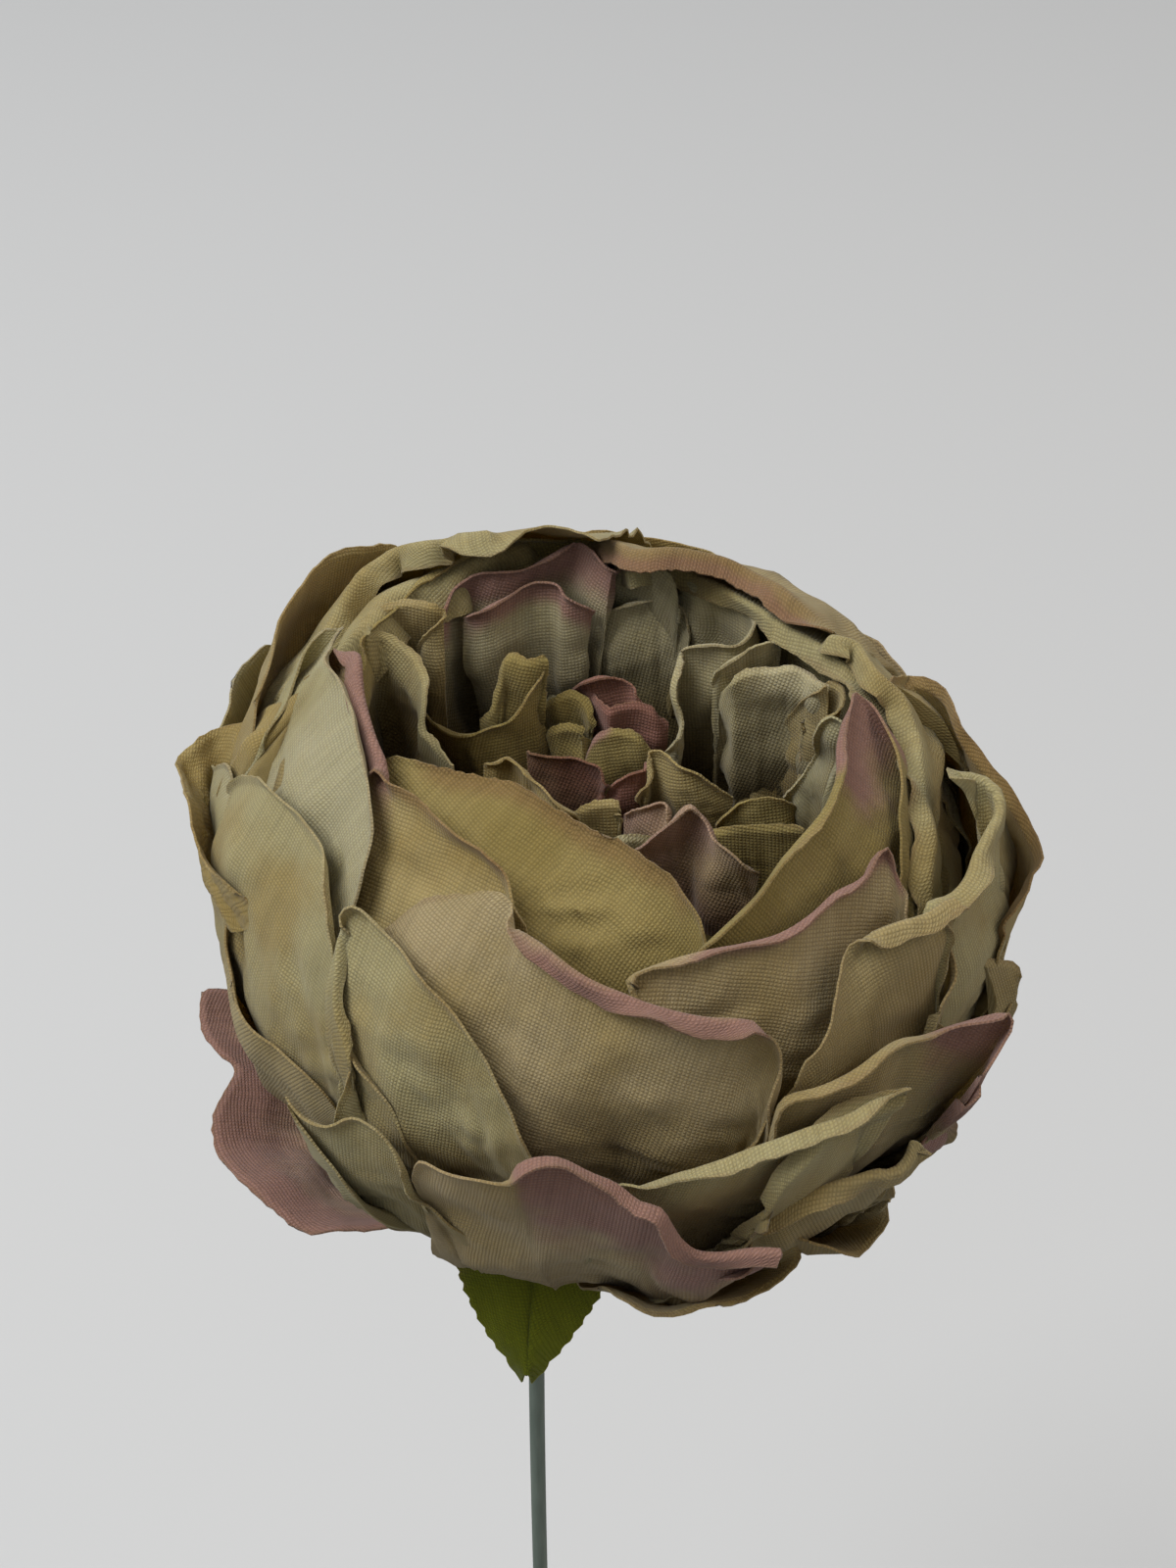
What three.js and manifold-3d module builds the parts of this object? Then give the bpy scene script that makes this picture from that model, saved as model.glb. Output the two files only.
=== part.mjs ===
// A full-blown peony made of cloth petals on a wired stem, standing in a plain glazed bud vase.
// Millimetres, +Z up. The origin is the centre of the vase's flat foot.
// The flower faces -Y: azimuth 0 is its front, 90 its right side (+X), 180 its back.

import * as THREE from 'three';
import { mergeVertices } from 'three/addons/utils/BufferGeometryUtils.js';
import Module from 'manifold-3d';

const wasm = await Module();
wasm.setup();

// ---- driving dimensions ----------------------------------------------------------------

const BLOOM_RADIUS = 49; // half the width of the ball of petals, at share 1
const BLOOM_HALF_HEIGHT = 42; // from the ball's middle to its top, at share 1
const BLOOM_CENTRE = new THREE.Vector3(3.9, 0, 295);

const RIM_DEPTH = 1.1; // through a cup petal at its rim, towards the ball's middle
const ROOT_DEPTH = 11; // how much deeper its root is, so that it sits in what it grows from
const RUFFLE_THICKNESS = 1.05;
const CUP_COLUMNS = 9; // the most facets along the rim of a cup petal
const COLUMNS_PER_PLACE = 0.45; // for each place in the list of its rim
const CUP_ROWS = 3; // facets from its root to its rim
const RUFFLE_COLUMNS = 7; // facets along the top edge of the longest ruffles
const RUFFLE_ROWS = 1;
const CORE_SIDES = 34;
const ROUND_SIDES = 20; // of the calyx and its seat
const ROOT_SHARE = 0.8; // inside the core
const WAIST_LATITUDE = -30; // where a petal's waist share is reached
const BODY_LATITUDE = 25; // where its body share is reached
const ROOT_PART = 0.4; // the part of a petal's length that comes out of the core
const SHARE_SCALE = 40; // of the shares against the degrees, where a rim's curve is drawn
const RUFFLE_LEAN = 0.8; // below 1 a ruffle leaves its foot fast and then stands up

const STEM_RADIUS = 1.1;
const SLEEVE_BORE = 0.8;
const WIRE_RADIUS = 0.5;
const STEM_X = -5.7; // where the straight part of the stem stands
const STEM_SEGMENTS = 4; // of each half turn
const STEM_STEPS = 28;
const WIRE_SHORTER = 0.6; // the wire stops this far inside the sleeve's lower end

const CALYX_AXIS = new THREE.Vector2(-8, 0); // from the bloom's centre
const CALYX_TOP = -34.6;
const CALYX_BOTTOM = -45;
const CALYX_RADIUS = 11;
const SEAT_GAP = 0.3; // between pieces that touch
const MERGE_DISTANCE = 1e-3;
const SEPAL_THICKNESS = 0.8;
const SEPAL_COLUMNS = 4;
const SEPAL_ROWS = 5;
const SEPAL_ROOT = new THREE.Vector2(5, -42.2); // out from the calyx's axis, and up
const SEPAL_SHOULDER = 0.4; // the part of its length where a sepal is widest

const VASE_HEIGHT = 136;
const VASE_FOOT_RADIUS = 30;
const VASE_BELLY_RADIUS = 37;
const VASE_BELLY_HEIGHT = 42;
const VASE_NECK_RADIUS = 11.2;
const VASE_NECK_BORE = 8;
const VASE_LIP_RADIUS = 13.6;
const VASE_WALL = 3.2;
const VASE_FLOOR = 6;
const VASE_SIDES = 32;
const VASE_STEPS = 13; // along the profile of each face of its wall

// ---- materials -------------------------------------------------------------------------

const petalCloth = new THREE.MeshStandardMaterial({ color: 0x9a9268, roughness: 0.9 });
const leafCloth = new THREE.MeshStandardMaterial({ color: 0x6f8618, roughness: 0.85 });
const greenPlastic = new THREE.MeshStandardMaterial({ color: 0x49584a, roughness: 0.5 });
const steelWire = new THREE.MeshStandardMaterial({ color: 0x8b8d90, roughness: 0.4, metalness: 1 });
const glazedClay = new THREE.MeshStandardMaterial({ color: 0xdedad0, roughness: 0.25 });

// ---- the cup petals --------------------------------------------------------------------
// They wrap the ball from outside. A place on the ball is [azimuth, latitude, share], in degrees
// and in shares of its radius. A petal's rim is a curve through such places, from its lower left
// or right corner over its top to the other corner. Each petal is given as
// [root, root width, share at its waist, share at its body, flare, rim], where the root is an
// azimuth and a latitude, its width is a share of the rim's, and a high flare keeps the spread of
// the rim to its last part.

const CUP_PETALS = {
  // the lowest, which spread out
  mauve_left: [[-56, -58], 0.4, 0.91, 0.97, 3,
    [[-26, -50, 0.86], [-34, -32.5, 0.93], [-38.5, -28.5, 1], [-44, -26, 1.08], [-50, -25.5, 1.11],
      [-55.5, -25, 1.12], [-62.5, -24.5, 1.12], [-68.5, -24, 1.1], [-72.5, -25, 1.07], [-77.5, -26, 1.03],
      [-80.5, -24, 1.05], [-88, -22, 1.08], [-92.5, -22, 1.08], [-93.5, -24.5, 1.03], [-100, -40, 0.86]]],
  ochre_front: [[12, -60], 0.45, 0.97, 1, 3,
    [[36, -40, 0.9], [23, -12, 1.01], [23.5, -15.5, 1.03], [21.5, -18.5, 1.05], [18.5, -20.5, 1.06],
      [15, -19, 1.07], [10.5, -17.5, 1.07], [8, -19, 1.07], [4.5, -18, 1.07], [2, -18, 1.05],
      [-8, -50, 0.93]]],
  ochre_right: [[38, -60], 0.45, 0.94, 0.98, 3,
    [[58, -40, 0.88], [37, -9, 1], [35, -9.5, 1.03], [36, -16, 1.04], [33.5, -17.5, 1.05], [29, -13, 1.06],
      [25.5, -10, 1.05], [22.5, -9, 1.02], [20, -45, 0.9]]],
  mauve_right: [[58, -60], 0.45, 0.93, 0.97, 3,
    [[76, -38, 0.86], [48.5, 0.5, 1.02], [47, 0.5, 1.04], [45.5, -0.5, 1.04], [43, -2, 1.02],
      [40.5, -5, 1], [38, -8.5, 0.98], [38, -45, 0.88]]],
  skirt_front: [[-5, -60], 0.45, 0.97, 0.99, 4,
    [[-24, -38, 0.93], [-23, -3, 1.02], [-23, 5, 1.04], [-21.5, 8.5, 1.06], [-18.5, 9.5, 1.08],
      [-14, 11.5, 1.1], [-11, 12, 1.11], [-10, 14, 1.12], [-8, 15.5, 1.13], [-6, 15.5, 1.13],
      [-3.5, 14, 1.13], [-0.5, 11.5, 1.12], [2.5, 9, 1.12], [5, 8.5, 1.12], [6.5, 6, 1.12], [7.5, 3, 1.12],
      [9, 0.5, 1.12], [12, 0, 1.13], [15, 1, 1.15], [17, 1, 1.16], [16.5, -2, 1.14], [12.5, -7, 1.1],
      [12, -38, 0.98]]],
  left_small: [[-23, -42], 0.45, 0.93, 1.02, 3,
    [[-16, -14, 0.98], [-23, -0.5, 1.04], [-24, 6, 1.05], [-25.5, 9.5, 1.06], [-27.5, 12, 1.07],
      [-30, 12, 1.07], [-33, 10, 1.08], [-36.5, 9.5, 1.08], [-39, 11, 1.09], [-38, 8.5, 1.09],
      [-35, 5.5, 1.08], [-31.5, 0.5, 1.07], [-29, -12, 1.02]]],
  tip_right: [[44, -40], 0.45, 0.91, 0.955, 3,
    [[22, -40, 0.92], [18.5, 16, 1.05], [20, 18.5, 1.06], [23.5, 19.5, 1.07], [28.5, 20.5, 1.08],
      [34.5, 21, 1.09], [38.5, 19.5, 1.1], [42.5, 19.5, 1.13], [45, 19.5, 1.16], [47.5, 19, 1.18],
      [46, 17.5, 1.17], [44, 15.5, 1.16], [42.5, 14, 1.15], [42.5, 10.5, 1.13], [42, 8, 1.1],
      [48, -8, 1.02], [54, -35, 0.92]]],
  fold_right: [[-2, -50], 0.2, 0.93, 0.97, 3,
    [[-4, -34, 0.93], [-0.5, 7, 1.05], [3, 9.5, 1.06], [7, 11.5, 1.07], [10, 12.5, 1.08], [14.5, 13, 1.08],
      [19, 14.5, 1.09], [24.5, 16, 1.1], [29.5, 17.5, 1.12], [33.5, 16.5, 1.14], [31, 15.5, 1.14],
      [27, 15, 1.14], [23, 13, 1.13], [19, 9.5, 1.12], [16.5, 4, 1.1], [16, -1, 1.07], [6, -30, 1.02]]],
  edge_right: [[34, -50], 0.4, 0.95, 0.985, 3,
    [[16, -42, 0.93], [16.5, -2, 1.05], [19, 1, 1.07], [22.5, 3.5, 1.08], [25.5, 5, 1.09], [29, 6, 1.1],
      [31, 5.5, 1.11], [32.5, 7.5, 1.12], [33.5, 9, 1.12], [34, 7.5, 1.12], [34, 4, 1.1], [33.5, -1, 1.06],
      [48, -35, 0.93]]],
  // the left flank
  left_ear: [[-74, 14], 0.4, 0.84, 0.97, 2,
    [[-58, 22, 0.94], [-63.5, 24, 0.97], [-68, 25, 0.99], [-74.5, 24.5, 1.01], [-77.5, 25, 1.03],
      [-82.5, 26, 1.05], [-90.5, 24, 1.06], [-93.5, 24, 1.08], [-95.5, 25.5, 1.06], [-99, 26, 1.03],
      [-99.5, 28, 1], [-92, 44, 0.96], [-84, 30, 0.9]]],
  left_olive: [[-84, -45], 0.4, 0.88, 0.93, 3,
    [[-100, -35, 0.8], [-67, 19.5, 0.95], [-66.5, 16, 0.96], [-65, 13.5, 0.96], [-60.5, 11, 0.96],
      [-54.5, 8.5, 0.96], [-48, 8, 0.95], [-42.5, 7, 0.95], [-39, 2.5, 0.93], [-52, -40, 0.82]]],
  left_long_outer: [[-42, -25], 0.35, 0.84, 0.95, 3,
    [[-22, -35, 0.86], [-27, 11, 0.99], [-35, 18, 1], [-38, 23, 1], [-41, 30, 1], [-47, 37, 1],
      [-55, 40, 1], [-70, 39, 1], [-81, 32, 0.99], [-84, 21, 0.93], [-80, 0, 0.84], [-68, -30, 0.74]]],
  left_long_inner: [[-24, -25], 0.35, 0.88, 0.985, 3,
    [[-4, -35, 0.86], [-10, 12, 1], [-12, 16.5, 1], [-14.5, 21.5, 1.01], [-18, 26.5, 1.02],
      [-24, 31, 1.02], [-30, 34, 1.02], [-35.5, 36, 1.02], [-39, 36.5, 1.02], [-40.5, 33.5, 1.01],
      [-38.5, 28, 1.01], [-36.5, 23, 1.01], [-33.5, 17.5, 1.01], [-36, 0, 1], [-34, -35, 0.84]]],
  left_strip_pale: [[-100, -20], 0.4, 0.82, 0.965, 3,
    [[-126, -30, 0.8], [-122, 18, 1], [-118, 28, 1.045], [-110, 26, 1.045], [-104, 24, 1.02],
      [-96, 22, 0.99], [-86, 30, 0.99], [-76, 22, 0.95], [-80, -25, 0.76]]],
  left_strip_olive: [[-120, -15], 0.4, 0.81, 0.945, 3,
    [[-150, -20, 0.8], [-146, 33, 1.01], [-139, 41, 1.05], [-132, 42, 1.08], [-126, 41, 1.11],
      [-119, 40, 1.1], [-111, 38, 1.06], [-102, 37, 1.01], [-92, 34, 0.97], [-95, -20, 0.76]]],
  left_shoulder: [[-72, 0], 0.3, 0.8, 0.925, 3,
    [[-46, -30, 0.74], [-42, 25, 0.94], [-46, 45, 0.97], [-60, 52, 0.97], [-78, 54, 0.98], [-92, 52, 1],
      [-106, 50, 1], [-100, 44, 0.98], [-88, 37, 0.96], [-86, 20, 0.9], [-82, -20, 0.72]]],
  // the front
  front_main: [[-2, -25], 0.45, 0.84, 0.965, 4,
    [[-34, -40, 0.86], [-37, 15, 0.96], [-37, 30, 0.97], [-33, 38, 0.98], [-30.5, 40.5, 0.99],
      [-24.5, 42.5, 1], [-18.5, 44, 1.01], [-15.5, 43, 1.02], [-13.5, 40.5, 1.03], [-9, 38.5, 1.04],
      [-4.5, 36, 1.05], [0, 34, 1.06], [5, 32, 1.06], [10.5, 30.5, 1.06], [15.5, 29.5, 1.06],
      [18.5, 28.5, 1.06], [20, 26, 1.06], [20.5, 22.5, 1.05], [20, 19, 1.04], [19, 14, 1.02],
      [17, -5, 0.97], [16, -35, 0.9]]],
  front_upper_left: [[-40, 5], 0.4, 0.78, 0.895, 3,
    [[-12, -30, 0.72], [-12, 30, 0.9], [-13.5, 40, 0.94], [-16, 43, 0.94], [-19, 46.5, 0.94],
      [-23, 48.5, 0.94], [-29, 49.5, 0.94], [-36, 50.5, 0.94], [-43.5, 51.5, 0.94], [-53, 51.5, 0.94],
      [-58, 53, 0.94], [-76, 55, 0.95], [-92, 55, 0.96], [-98, 46, 0.93], [-86, 0, 0.84]]],
  front_upper: [[-12, 5], 0.4, 0.76, 0.872, 3,
    [[20, -30, 0.7], [17, 28, 0.88], [15, 37, 0.93], [15, 40.5, 0.93], [13.5, 43.5, 0.92],
      [11.5, 47, 0.91], [7.5, 49.5, 0.91], [2.5, 52.5, 0.9], [-4.5, 54.5, 0.9], [-11.5, 56.5, 0.89],
      [-19.5, 58.5, 0.88], [-30.5, 60, 0.87], [-44, 58, 0.87], [-54.5, 55.5, 0.87], [-62.5, 52.5, 0.88],
      [-66, 45, 0.88], [-50, -30, 0.66]]],
  right_lip: [[26, -10], 0.45, 0.84, 0.915, 3,
    [[-4, -35, 0.8], [4, 30, 0.96], [2, 34, 0.98], [7.5, 36, 0.99], [16.5, 37.5, 1], [24, 37.5, 1],
      [30.5, 38, 1], [36, 39, 1], [42, 39, 1], [44.5, 40.5, 1.01], [47.5, 41, 1.02], [47.5, 38, 1.01],
      [47.5, 34.5, 1], [46, 31, 0.99], [50, 12, 0.94], [48, -35, 0.8]]],
  right_cup: [[38, -20], 0.45, 0.87, 0.937, 3,
    [[8, -40, 0.92], [16, 8, 1], [22.5, 18.5, 1.02], [26.5, 23.5, 1.03], [30.5, 30.5, 1.04],
      [33.5, 33.5, 1.05], [36.5, 34, 1.06], [40, 34, 1.07], [44, 33.5, 1.08], [48.5, 33.5, 1.09],
      [49.5, 31.5, 1.08], [48.5, 27.5, 1.06], [47, 23, 1.04], [43, 19, 1.03], [50, 8, 1], [50, -30, 0.92]]],
  right_spire: [[42, 5], 0.4, 0.78, 0.875, 3,
    [[8, -30, 0.72], [10, 33, 0.93], [16, 39, 0.96], [29, 44.5, 0.95], [35, 46.5, 0.95], [44.5, 49, 0.95],
      [53.5, 51.5, 0.95], [62.5, 54, 0.95], [71.5, 55.5, 0.95], [79.5, 55, 0.95], [78, 52.5, 0.95],
      [72.5, 49.5, 0.95], [67.5, 46.5, 0.95], [62.5, 43, 0.95], [58, 39, 0.94], [53, 35, 0.93],
      [50, 10, 0.88], [50, -20, 0.74]]],
  right_far: [[84, -20], 0.4, 0.85, 0.92, 3,
    [[114, -30, 0.84], [112, 25, 0.88], [87.5, 51, 0.96], [92, 46.5, 0.97], [90.5, 43, 0.98],
      [86, 41, 0.98], [83, 39, 0.98], [81, 35.5, 1], [79, 31.5, 1.02], [77, 26.5, 1.04], [73.5, 23, 1.06],
      [70.5, 22.5, 1.04], [68.5, 21.5, 1.03], [64, 20.5, 1.02], [63, 19.5, 1], [62.5, 17.5, 1],
      [61, 15.5, 0.99], [62, -35, 0.86]]],
  right_far_low: [[68, -40], 0.4, 0.9, 1.005, 3,
    [[92, -30, 0.84], [58, 16, 0.98], [60, 15, 0.99], [63.5, 12, 1.01], [64, 9, 1.02], [63.5, 6, 1.02],
      [61.5, 4.5, 1.01], [58, -10, 0.97], [50, -40, 0.88]]],
  right_strap: [[86, 5], 0.4, 0.82, 0.872, 3,
    [[124, -25, 0.74], [119, 28, 0.85], [100, 58.5, 0.97], [97.5, 55.5, 0.98], [91.5, 54.5, 0.98],
      [86.5, 53, 0.98], [84.5, 50, 0.98], [81, 47.5, 0.97], [77, 45, 0.97], [71.5, 43.5, 0.97],
      [67, 42.5, 0.97], [65, 39.5, 0.97], [62.5, 36.5, 0.97], [58, 33, 0.97], [54.5, 29, 0.96],
      [56, 0, 0.9], [56, -30, 0.78]]],
  right_cup_back: [[64, -25], 0.45, 0.86, 0.945, 3,
    [[46, -30, 0.9], [46, 20, 1], [47, 33, 1.04], [51, 32.5, 1.06], [55, 33, 1.07], [59, 34, 1.07],
      [63.5, 34.5, 1.07], [67.5, 35, 1.07], [69.5, 37.5, 1.07], [69.5, 39.5, 1.06], [68, 41, 1.05],
      [84, 18, 0.97], [84, -30, 0.88]]],
  // the back's rim
  back_left: [[-145, 0], 0.4, 0.82, 0.955, 3,
    [[-100, -20, 0.8], [-100, 38, 0.95], [-118.5, 43, 1], [-121.5, 45, 1.02], [-125, 47, 1.04],
      [-129, 48.5, 1.05], [-133, 49.5, 1.06], [-136, 53.5, 1.06], [-142.5, 54, 1.04], [-144.5, 60, 1.03],
      [-149.5, 62.5, 1.02], [-155.5, 63.5, 1.01], [-163, 64.5, 1], [-169.5, 68.5, 0.99],
      [-176, 70.5, 0.97], [-188, 46, 0.93], [-192, -20, 0.8]]],
  back_left_inner: [[-142, 5], 0.4, 0.8, 0.925, 3,
    [[-104, 0, 0.8], [-112, 48, 0.95], [-124, 50, 0.97], [-133, 52, 0.975], [-143, 53, 0.975],
      [-154, 54, 0.965], [-166, 52, 0.95], [-174, 0, 0.8]]],
  back_right: [[142, 0], 0.4, 0.82, 0.88, 4,
    [[194, -20, 0.74], [188, 50, 0.935], [172.5, 70.5, 0.96], [152, 67.5, 0.98], [139, 63.5, 0.98],
      [130, 62.5, 0.98], [118.5, 63, 0.98], [109.5, 62, 0.97], [102.5, 60.5, 0.96], [106, 46, 0.9],
      [100, 38, 0.88], [94, -20, 0.8]]],
  back_right_inner: [[128, 5], 0.4, 0.79, 0.86, 3,
    [[176, -10, 0.7], [174, 63.5, 0.88], [157, 58.5, 0.9], [141.5, 61.5, 0.9], [125.5, 62, 0.9],
      [112, 61.5, 0.91], [102, 58.5, 0.92], [94.5, 56, 0.92], [88, 54.5, 0.92], [81.5, 53.5, 0.91],
      [84, 25, 0.88], [86, 0, 0.84]]],
  // the back, below its rim
  back_mid_left: [[-140, -25], 0.45, 0.88, 0.975, 3,
    [[-104, -35, 0.82], [-110, 8, 0.97], [-120, 24, 1], [-132, 30, 1.03], [-146, 29, 1.04],
      [-158, 24, 1.02], [-168, 6, 0.98], [-172, -35, 0.84]]],
  back_mid: [[178, -25], 0.45, 0.9, 1.005, 3,
    [[212, -38, 0.86], [206, 6, 1], [196, 24, 1.03], [184, 30, 1.04], [172, 28, 1.04], [160, 25, 1.02],
      [150, 4, 0.99], [146, -38, 0.86]]],
  back_mid_right: [[132, -25], 0.45, 0.86, 0.915, 3,
    [[164, -35, 0.84], [158, 4, 0.95], [147, 22, 0.96], [134, 25, 0.96], [121, 22, 0.94], [112, 14, 0.92],
      [102, 2, 0.91], [98, -35, 0.84]]],
  back_low_left: [[-128, -50], 0.45, 0.94, 0.99, 3,
    [[-98, -42, 0.84], [-104, -18, 0.93], [-112, -8, 0.98], [-122, -2, 1.03], [-134, -4, 1.04],
      [-146, -14, 0.99], [-152, -44, 0.86]]],
  back_low: [[-172, -50], 0.45, 0.96, 1.01, 3,
    [[-136, -44, 0.88], [-144, -16, 1], [-156, -5, 1.06], [-170, -1, 1.08], [-184, -5, 1.06],
      [-196, -16, 1], [-202, -44, 0.88]]],
  back_low_right: [[140, -50], 0.45, 0.94, 0.99, 3,
    [[176, -44, 0.87], [168, -16, 0.99], [156, -7, 1.04], [142, -2, 1.06], [128, -5, 1.04],
      [118, -16, 0.97], [112, -42, 0.86]]],
  right_low: [[100, -50], 0.45, 0.93, 0.975, 3,
    [[126, -42, 0.86], [120, -18, 0.96], [111, -9, 1], [101, -7, 1.01], [91, -10, 0.99], [83, -20, 0.95],
      [78, -42, 0.86]]],
};

// ---- the ruffles -----------------------------------------------------------------------
// They stand in the open middle of the ball. Each is
// [foot centre, foot width, foot height, top edge], in millimetres from the bloom's centre, where
// the foot is the top edge's outline shrunk towards the foot centre by the foot width.

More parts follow.
